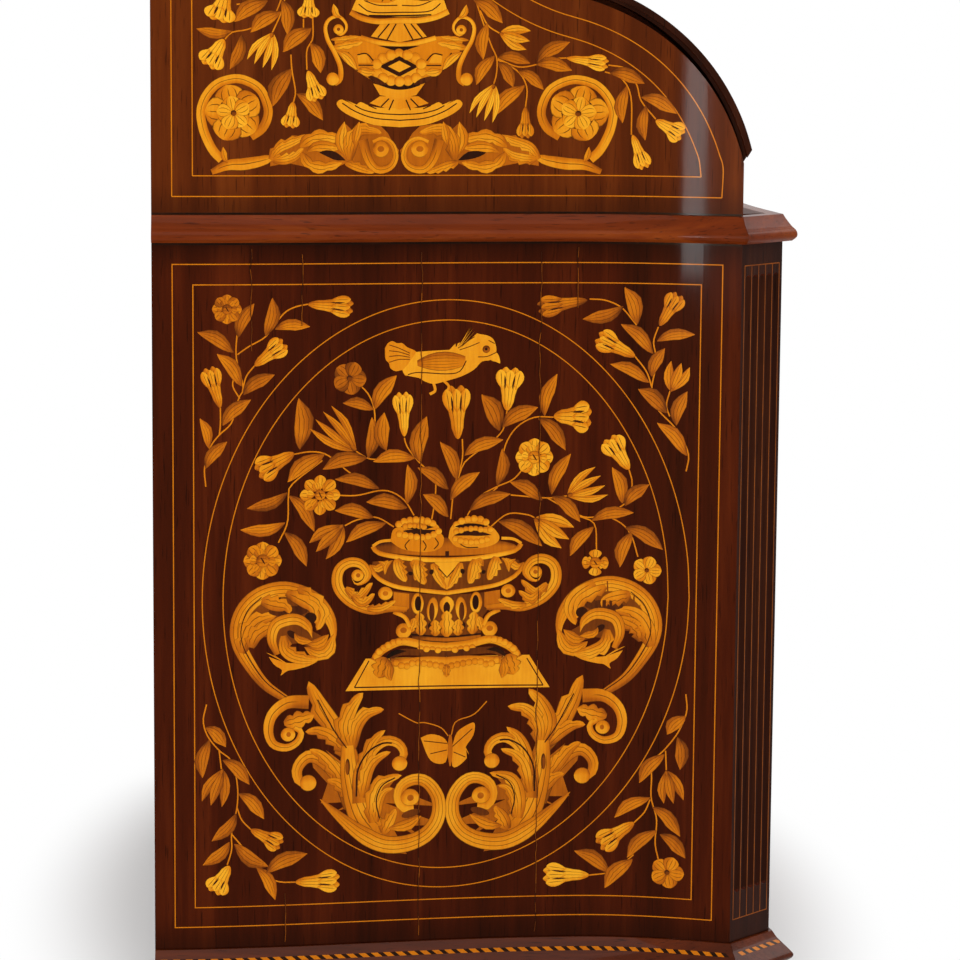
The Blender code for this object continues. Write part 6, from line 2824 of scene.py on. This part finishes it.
@dataclass
class InlaidFront:
    """Strings and flowers of the drawers, the lid and the top, and the leather's gilt lines."""

    string: float = 1.0
    tone: float = 0.72
    bouquet: tuple[tuple[list[Cut], int], ...] = ((BOUQUET_LEFT, 1), (BOUQUET_RIGHT, 1), (CROWN_ROSES, 6))
    bouquet_middle: Point = (262.0, 524.0)
    urn_middle: Point = (262.0, 478.0)

    def build(self) -> None:
        """Cut every face."""
        self.drawers()
        self.lid()
        self.top()
        self.leather()

    def border(self, work: Marquetry, low: Point, high: Point, inset: float) -> None:
        """Two strings round a face.

        Args:
            work: The face.
            low: Its lower left corner.
            high: Its upper right corner.
            inset: The first string's distance from its edge.
        """
        for step in (inset, 2.2 * inset):
            corners = (low[0] + step, low[1] + step), (high[0] - step, high[1] - step)
            work.box(*corners, self.string, self.tone)

    def pair(self, work: Marquetry, table: list[Cut], spot: Point, scale: float, turn: float = 0.0) -> None:
        """A motif on the left and its mirror image on the right.

        Args:
            work: The face.
            table: The motif.
            spot: Its middle on the left.
            scale: Its size.
            turn: How far it is turned.
        """
        points = np.array([p for row in table for p in row.points])
        middle = tuple((points.min(axis=0) + points.max(axis=0)) / 2)
        left = Shift(middle, spot, scale, turn)
        right = Shift(middle, (-spot[0], spot[1]), scale, -turn, True)
        work.lay([(left, table, 1), (right, table, 1)])

    def flowers(self, work: Marquetry, middle: Point, spot: Point, scale: float, turn: float = 0.0) -> None:
        """The side's bouquet without its urn, its middle there landing on a spot here."""
        shift = Shift(middle, spot, scale, turn)
        work.lay((shift, table, level) for table, level in self.bouquet)

    def drawers(self) -> None:
        """The three drawer fronts."""
        for word in DRAWERS:
            low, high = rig.box(f"{word}_drawer_front")
            work = Marquetry(FrontGround())
            reach, middle = high.x / MM, (low.z + high.z) / 2 / MM
            self.border(work, (-reach, low.z / MM), (reach, high.z / MM), 6.0)
            if word == "top":
                for x in (-205, -90, -418):
                    self.pair(work, TOP_LEFT_SPRAY, (x, middle), 0.46, pi / 2)
            else:
                self.flowers(work, self.bouquet_middle, (0, middle - 14), 0.86)
                self.pair(work, TOP_RIGHT_SPRAY, (-228, middle), 0.74)
                self.pair(work, TOP_LEFT_SPRAY, (-440, middle), 0.78)
            work.settle(f"{word}_drawer_inlay", f"{word}_drawer")

    def lid(self) -> None:
        """The lid's outer face: an urn of flowers, birds and corner sprays."""
        work = Marquetry(FallGround(), 4.0)
        self.border(work, (-522, 4), (522, 311), 7.0)
        work.ring((0, 157), (238, 130), self.string, self.tone)
        spot, scale = (0.0, 157.0), 0.80
        whole, other = (Shift(self.urn_middle, spot, scale, mirror=m) for m in (False, True))
        work.lay([(whole, URN_HALF, 4), (other, URN_HALF, 4), (whole, URN_MIDDLE, 0)])
        self.flowers(work, self.urn_middle, spot, scale)
        self.pair(work, BIRD, (-312, 158), 1.0)
        self.pair(work, TOP_LEFT_SPRAY, (-432, 222), 0.74)
        self.pair(work, LOW_LEFT_SPRAY, (-432, 92), 0.74)
        work.settle("fall_inlay", "fall")

    def top(self) -> None:
        """The top board's upper face."""
        work = Marquetry(TopGround())
        self.border(work, (-530, 0), (530, 270), 9.0)
        work.ring((0, 135), (190, 92), self.string, self.tone)
        self.flowers(work, self.bouquet_middle, (0, 136), 0.78, pi)
        self.pair(work, TOP_LEFT_SPRAY, (-330, 135), 1.0, pi / 2)
        self.pair(work, TOP_LEFT_SPRAY, (-450, 135), 0.8)
        work.settle("top_inlay")

    def leather(self) -> None:
        """Gilt lines tooled into the writing leather."""
        work = Marquetry(LeatherGround())
        self.border(work, (-432, 42), (432, 287.4), 8.0)
        work.settle("leather_tooling", "fall")


# Studio


@dataclass
class Studio:
    """Camera, lamps, floor and background."""

    sensor: float = 36.0
    lamps: tuple[tuple[str, Spot, Spot, Point, float], ...] = (
        ("key", (-2.8, -0.8, 3.2), (0, 0, 0.5), (3.0, 3.0), 54.0),
        ("glare", (-3.25, 1.12, 0.70), (-0.56, -0.19, 0.6), (0.14, 0.5), 11.0),
        ("fill", (-3.0, 2.0, 1.4), (0, 0, 0.5), (1.8, 2.2), 26.0),
        ("front", (1.8, -3.2, 2.2), (0, 0, 0.5), (2.4, 2.0), 60.0),
        ("back", (2.0, 3.0, 2.4), (0, 0, 0.6), (2.4, 2.0), 60.0),
    )
    floor_radius: float = 40.0
    fade_reach: Spot = (0.58, 0.29, 1.0)

    def build(self) -> None:
        """Set up the whole studio."""
        bpy.context.scene.view_settings.view_transform = "Standard"
        self.aim()
        self.world()
        self.floor()
        for row in self.lamps:
            self.lamp(*row)

    def aim(self) -> None:
        """Place the camera where the photograph was taken from."""
        data = bpy.data.cameras.new("camera")
        data.sensor_width = self.sensor
        data.lens = VIEW.focal * self.sensor / VIEW.image
        across, above, ahead = VIEW.axes()
        turn = Matrix((across, above, -ahead)).transposed()
        camera = in_scene("camera", data)
        camera.matrix_world = Matrix.Translation(VIEW.spot) @ turn.to_4x4()
        bpy.context.scene.camera = camera

    def lamp(self, name: str, place: Spot, target: Spot, size: Point, watts: float) -> None:
        """Hang a soft box.

        Args:
            name: Its name.
            place: Where it hangs.
            target: What it faces.
            size: Its width and height.
            watts: Its power.
        """
        data = bpy.data.lights.new(name, "AREA")
        data.shape, (data.size, data.size_y) = "RECTANGLE", size
        data.energy = watts
        lamp = in_scene(name, data)
        lamp.visible_camera = False
        ahead = Vector(target) - Vector(place)
        turn = ahead.to_track_quat("-Z", "Y").to_matrix().to_4x4()
        lamp.matrix_world = Matrix.Translation(place) @ turn

    def world(self) -> None:
        """A white background over a plain grey light."""
        recipe = Recipe(bpy.data.worlds.new("studio"))
        strength = recipe.shown() * 0.45 + 0.55
        light = recipe.node("ShaderNodeBackground", {"Color": (1, 1, 1, 1), "Strength": strength})
        recipe.node("ShaderNodeOutputWorld", {"Surface": light})
        bpy.context.scene.world = recipe.owner

    def floor(self) -> None:
        """A pale floor that fades into the background away from the object."""
        bm = bmesh.new()
        bmesh.ops.create_circle(bm, cap_ends=True, radius=self.floor_radius, segments=96)
        mesh = bpy.data.meshes.new("floor")
        bm.to_mesh(mesh)
        bm.free()
        recipe = Recipe(bpy.data.materials.new("pale_floor"))
        away = recipe.place(tuple(1 / reach for reach in self.fade_reach))
        away = recipe.node("ShaderNodeVectorMath", {0: away}, "Value", operation="LENGTH")
        fade = recipe.ease(away, 1.05, 1.6) * recipe.shown()
        speck = recipe.noise(recipe.place(), 60.0, 3.0) * 0.02
        colour = recipe.mix(speck, (0.86, 0.86, 0.86), (0.72, 0.72, 0.72))
        plain = recipe.node("ShaderNodeBsdfDiffuse", {"Color": colour})
        white = recipe.node("ShaderNodeEmission", {"Color": (1, 1, 1, 1), "Strength": 1.0})
        both = recipe.node("ShaderNodeMixShader", {0: fade, 1: plain, 2: white})
        recipe.node("ShaderNodeOutputMaterial", {"Surface": both})
        mesh.materials.append(recipe.owner)
        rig.stage(in_scene("floor", mesh))


def dress_nodes() -> None:
    """Give each solid that still shows its finish."""
    finishes = {
        "mahogany_veneer": SOLID,
        "moulding_mahogany": EDGE,
        "oak_carcase": OAK,
        "brass": BRASS,
        "writing_leather": HIDE,
    }
    own = {f"{word}_drawer_box": DRAWER_OAK for word in DRAWERS}
    slots = {row["node"]: row["material_slot"] for row in frame["record"]["subparts"]}
    for name, node in frame["nodes"].items():
        if node.hide_render:
            continue
        finish = own.get(name) or finishes[slots[name]]
        node.data.materials.clear()
        node.data.materials.append(finish.material())
        log.info("%s keeps its solid", name)


def main() -> None:
    """Build the secretary's looks in order and note the sizes."""
    logging.basicConfig(level=logging.INFO, format="%(message)s")
    case = (LowerCase, Mouldings, Feet, Cheeks, TopBoard, Fall, Drawers)
    for group in (Studio, *case, InlaidSides, CheckerBand, InlaidFront, Brasses, Nest, Back):
        group().build()
    dress_nodes()
    boxes = {"cad": [list(v) for v in CAD_BOX], "visual": [list(v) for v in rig.bounds()]}
    with open("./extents.json", "w") as file:
        json.dump(boxes, file)


if __name__ == "__main__":
    main()
